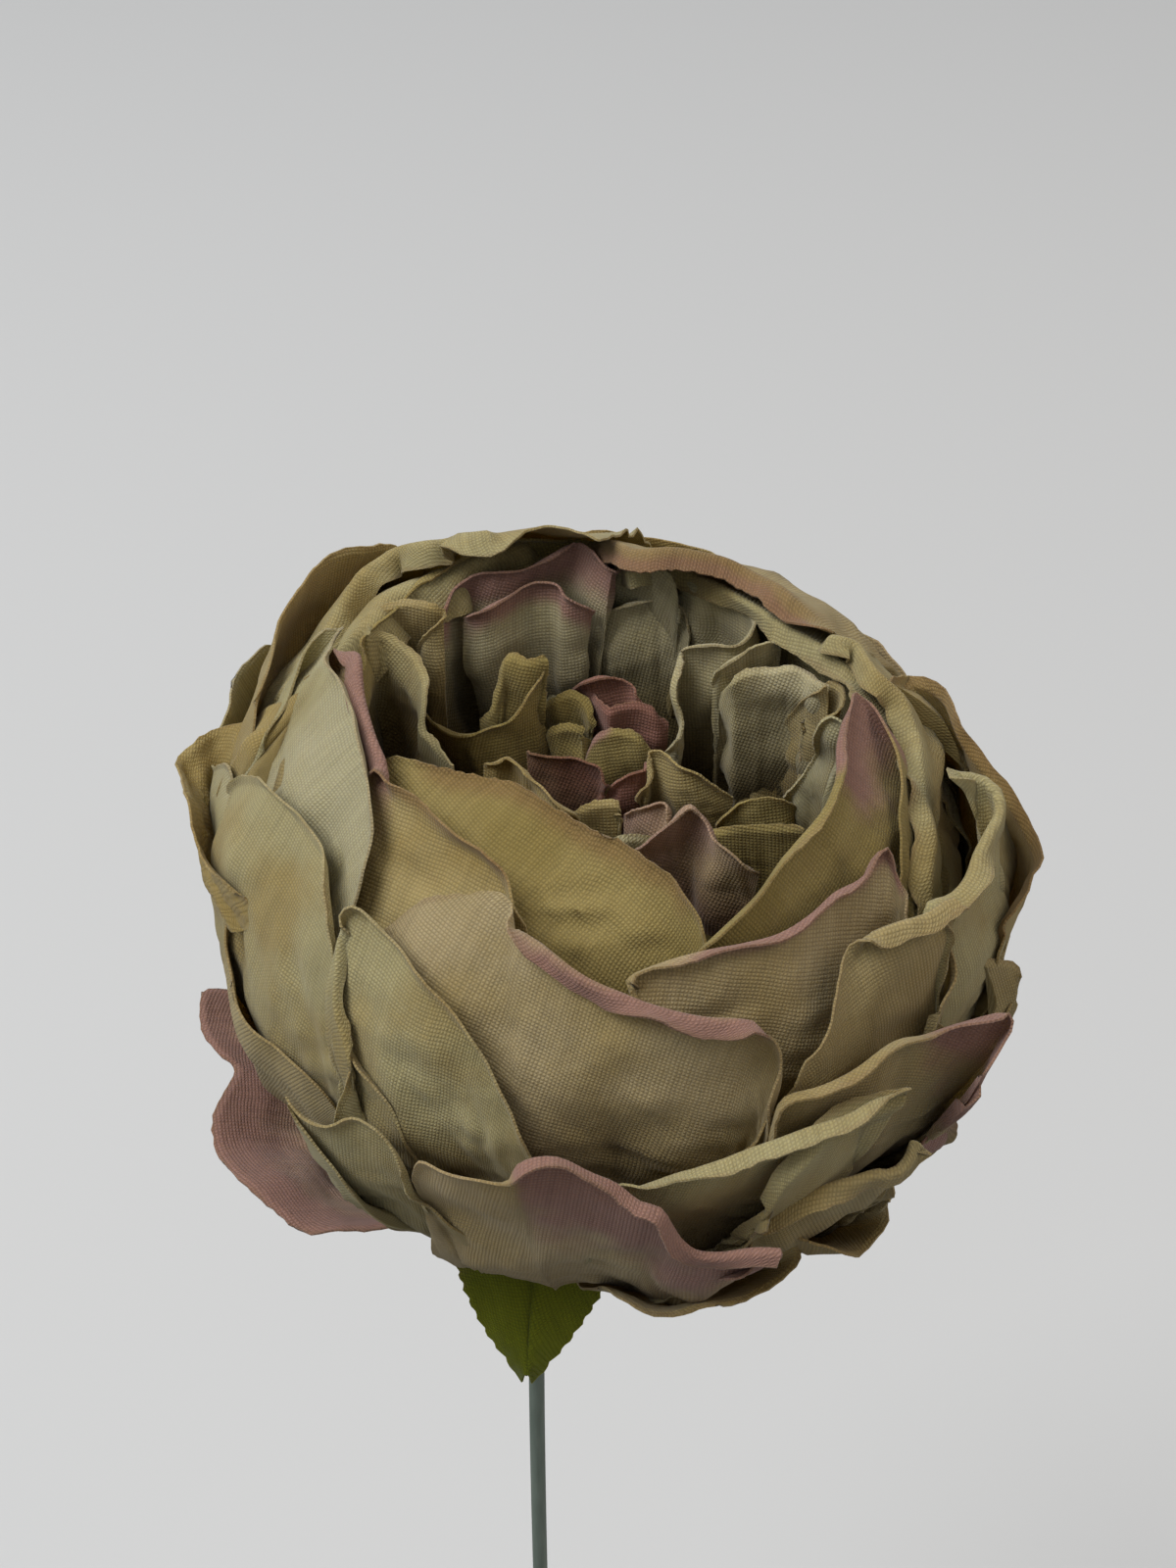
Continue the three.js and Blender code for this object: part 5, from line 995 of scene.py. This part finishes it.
# %% The calyx's leaves
SEPALS = [(-4, 22, 10, 11.5), (68, 18, 8.5, 4), (140, 17, 8, 5), (212, 18, 8.5, 4.5), (284, 17, 8, 6)]
SEPAL_SHOULDER, SEPAL_HEIGHT = 0.4, -42.2
TOOTH_MM, TOOTH_DEPTH = 1.3, 0.5
LEAF_THICKNESS, LEAF_BIAS = 0.35, 0.3
LEAF_SWELL, LEAF_WAVE = 0.25, 7
MIDRIB_DEPTH, MIDRIB_WIDTH = 0.35, 0.06  # in mm, and as a share of half the leaf's width


def sepal(number, azimuth, length, half_width, droop):
    draw = np.random.default_rng(3000 + number)
    columns, rows = 41, 61
    side = np.linspace(-1, 1, columns)[:, None]
    v = np.linspace(0, 1, rows)[None, :]
    taper = np.maximum(0, (v - SEPAL_SHOULDER) / (1 - SEPAL_SHOULDER))
    width = half_width * lerp(0.35, 1.0, smooth(v / SEPAL_SHOULDER)) * (1 - 0.96 * taper ** 1.9)
    teeth = TOOTH_DEPTH * (np.abs((v * length / TOOTH_MM) % 1.0 - 0.5) * 2 - 0.5)
    width = np.maximum(width + teeth * np.minimum(1, width / 2), 0.05)
    out = np.array([math.sin(math.radians(azimuth)), -math.cos(math.radians(azimuth)), 0.0])
    across = np.array([-out[1], out[0], 0.0])
    height = SEPAL_HEIGHT - droop * v ** 2.2 - 1.5 * side ** 2
    sheet = np.array([CALYX_AXIS[0], CALYX_AXIS[1], 0.0]) + out * (5 + length * v)[..., None]
    sheet = sheet + across * (side * width)[..., None] + np.array([0, 0, 1.0]) * height[..., None]
    midrib = np.exp(-(side / MIDRIB_WIDTH) ** 2)
    sheet[..., 2] += LEAF_SWELL * swell(sheet, LEAF_WAVE, draw) - MIDRIB_DEPTH * midrib
    way = np.minimum((1 - np.abs(side)) * width, (1 - v) * length)
    return piece_of_cloth(f"sepal_{number}", sheet, {
        "mm_from_rim": way + 0.5,
        # a little painted shade towards the leaf's base, and painted shade along its midrib
        "up_from_root": 0.5 + 0.5 * v + 0 * side,
        "creased": midrib + 0 * v,
        "brushed": 0 * way,
        "stained": 0 * way,
    }, LEAF_THICKNESS, leaf_green, LEAF_BIAS)


for number, numbers in enumerate(SEPALS):
    leaf = sepal(number, *numbers)
    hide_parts("calyx")
print(len(SEPALS), "leaves")

# %% [markdown]
# ## The stem
# The stem is a steel wire in a thin plastic sleeve, bent a little by hand to stand in the vase. A
# tube along a smooth curve is the plain way to make it, with fine ridges running along the plastic.

# %% The stem's sleeve
STEM_X = -5.7
sleeve_points = [(-4.1, 256.1), (-4.1, 250), (STEM_X + 0.5, 236), (STEM_X, 205), (STEM_X, 145),
                 (STEM_X + 0.4, 118), (-2.2, 72), (3, 36), (8, 6.7)]
path, _ = even_curve([(x, 0.0, z) for x, z in sleeve_points], 90)
curve = bpy.data.curves.new("stem_sleeve", "CURVE")
curve.dimensions = "3D"
curve.bevel_depth = STEM_RADIUS * MM
curve.bevel_resolution = 6
curve.use_fill_caps = True
spline = curve.splines.new("POLY")
spline.points.add(len(path) - 1)
for point, place in zip(spline.points, path):
    point.co = (*(place * MM), 1.0)
linked("stem_sleeve_skin", curve)
bpy.ops.object.convert(target="MESH")
sleeve = bpy.context.object
bpy.ops.object.shade_smooth_by_angle(angle=math.radians(TURNED_ANGLE))
plastic, tree, shader = new_material("stem_plastic", Roughness=0.5)
place = add(tree, "TexCoord").outputs["Object"]
long_way = add(tree, "Mapping", [(place, "Vector")], in_Scale=(900, 900, 90))
streaks = add(tree, "TexNoise", [(long_way, "Vector")], in_Scale=1.0, in_Detail=3.0)
tinted = add(tree, "Mix", [(streaks, 0)], data_type="RGBA", in_6="4a584c", in_7="7d887c")
join(tree, tinted.outputs[COLOUR_OUT], shader, "Base Color")
ridged = add(tree, "Bump", [(streaks, "Height")], in_Strength=0.4, in_Distance=0.0002)
join(tree, ridged, shader, "Normal")
hand_in(sleeve, "stem_sleeve_skin", plastic, "stem_plastic", "stem_sleeve")
print("sleeve,", len(sleeve.data.polygons), "faces")

# %% The wire inside it
wire, tree, shader = new_material("drawn_steel", Base_Color="8b8d90", Metallic=1.0, Roughness=0.4)
place = add(tree, "TexCoord").outputs["Object"]
drawn_way = add(tree, "Mapping", [(place, "Vector")], in_Scale=(4000, 4000, 60))
lines = add(tree, "TexNoise", [(drawn_way, "Vector")], in_Scale=1.0)
scored = add(tree, "Bump", [(lines, "Height")], in_Strength=0.3, in_Distance=0.0001)
join(tree, scored, shader, "Normal")
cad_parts["stem_wire"].data.materials.clear()
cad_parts["stem_wire"].data.materials.append(wire)
print("wire of", wire.name)

# %% [markdown]
# ## The vase
# A bud vase is thrown on a wheel, dipped in glaze and fired on its bare foot. Its outline is spun,
# as the potter did it. The glaze is glossy and off-white, with fine specks of iron, and it stops
# short of the foot, where the buff clay shows.

# %% The vase
VASE_HEIGHT = 136
outside = [(28, 1.2), (35.4, 22), (37, 42), (31, 66), (17.5, 88), (11.8, 105), (11.2, 120), (13.2, 134.6)]
inside = [(11, 135.6), (8, 123), (8, 104), (13.6, 88), (27.8, 65), (33.8, 42), (31.2, 20), (20, 6)]
wall = [even_curve([(r, 0, z) for r, z in face], 60)[0][:, [0, 2]] for face in (outside, inside)]
outline = [(0, 0), (27, 0), *map(tuple, wall[0]), (12.9, 135.7), (12.4, VASE_HEIGHT), (11.6, VASE_HEIGHT),
           *map(tuple, wall[1]), (0, 6)]
vase = turned("glazed_vase", outline, 96)
glaze, tree, shader = new_material("speckled_glaze")
place = add(tree, "TexCoord").outputs["Object"]
specks = add(tree, "TexNoise", [(place, "Vector")], in_Scale=900.0, in_Detail=2.0)
iron = add(tree, "MapRange", [(specks, "Value")], in_From_Min=0.7, in_From_Max=0.76)
pool = add(tree, "TexNoise", [(place, "Vector")], in_Scale=25.0, in_Detail=3.0)
milky = add(tree, "Mix", [(pool, 0)], data_type="RGBA", in_6="dcd7ca", in_7="e9e6de")
speckled = add(tree, "Mix", [(iron, 0), (milky.outputs[COLOUR_OUT], COLOUR_A)], data_type="RGBA",
               in_7="8d7a60")
height = add(tree, "SeparateXYZ", [(place, "Vector")])
glazed = add(tree, "MapRange", [(height.outputs["Z"], "Value")], in_From_Min=0.0016, in_From_Max=0.0022)
footed = add(tree, "Mix", [(glazed, 0), (speckled.outputs[COLOUR_OUT], COLOUR_B)], data_type="RGBA",
             in_6="b89f7d")
join(tree, footed.outputs[COLOUR_OUT], shader, "Base Color")
dull_foot = add(tree, "MapRange", [(glazed, "Value")], in_To_Min=0.8, in_To_Max=0.18)
join(tree, dull_foot, shader, "Roughness")
rings = add(tree, "TexWave", [(place, "Vector")], bands_direction="Z", in_Scale=70.0,
            in_Distortion=1.5, in_Detail=1.0)
thrown = add(tree, "Bump", [(rings.outputs["Fac"], "Height")], in_Strength=0.25, in_Distance=0.0008)
join(tree, thrown, shader, "Normal")
hand_in(vase, "glazed_vase", glaze, "vase_glaze", "vase")
print("vase,", len(vase.data.polygons), "faces")
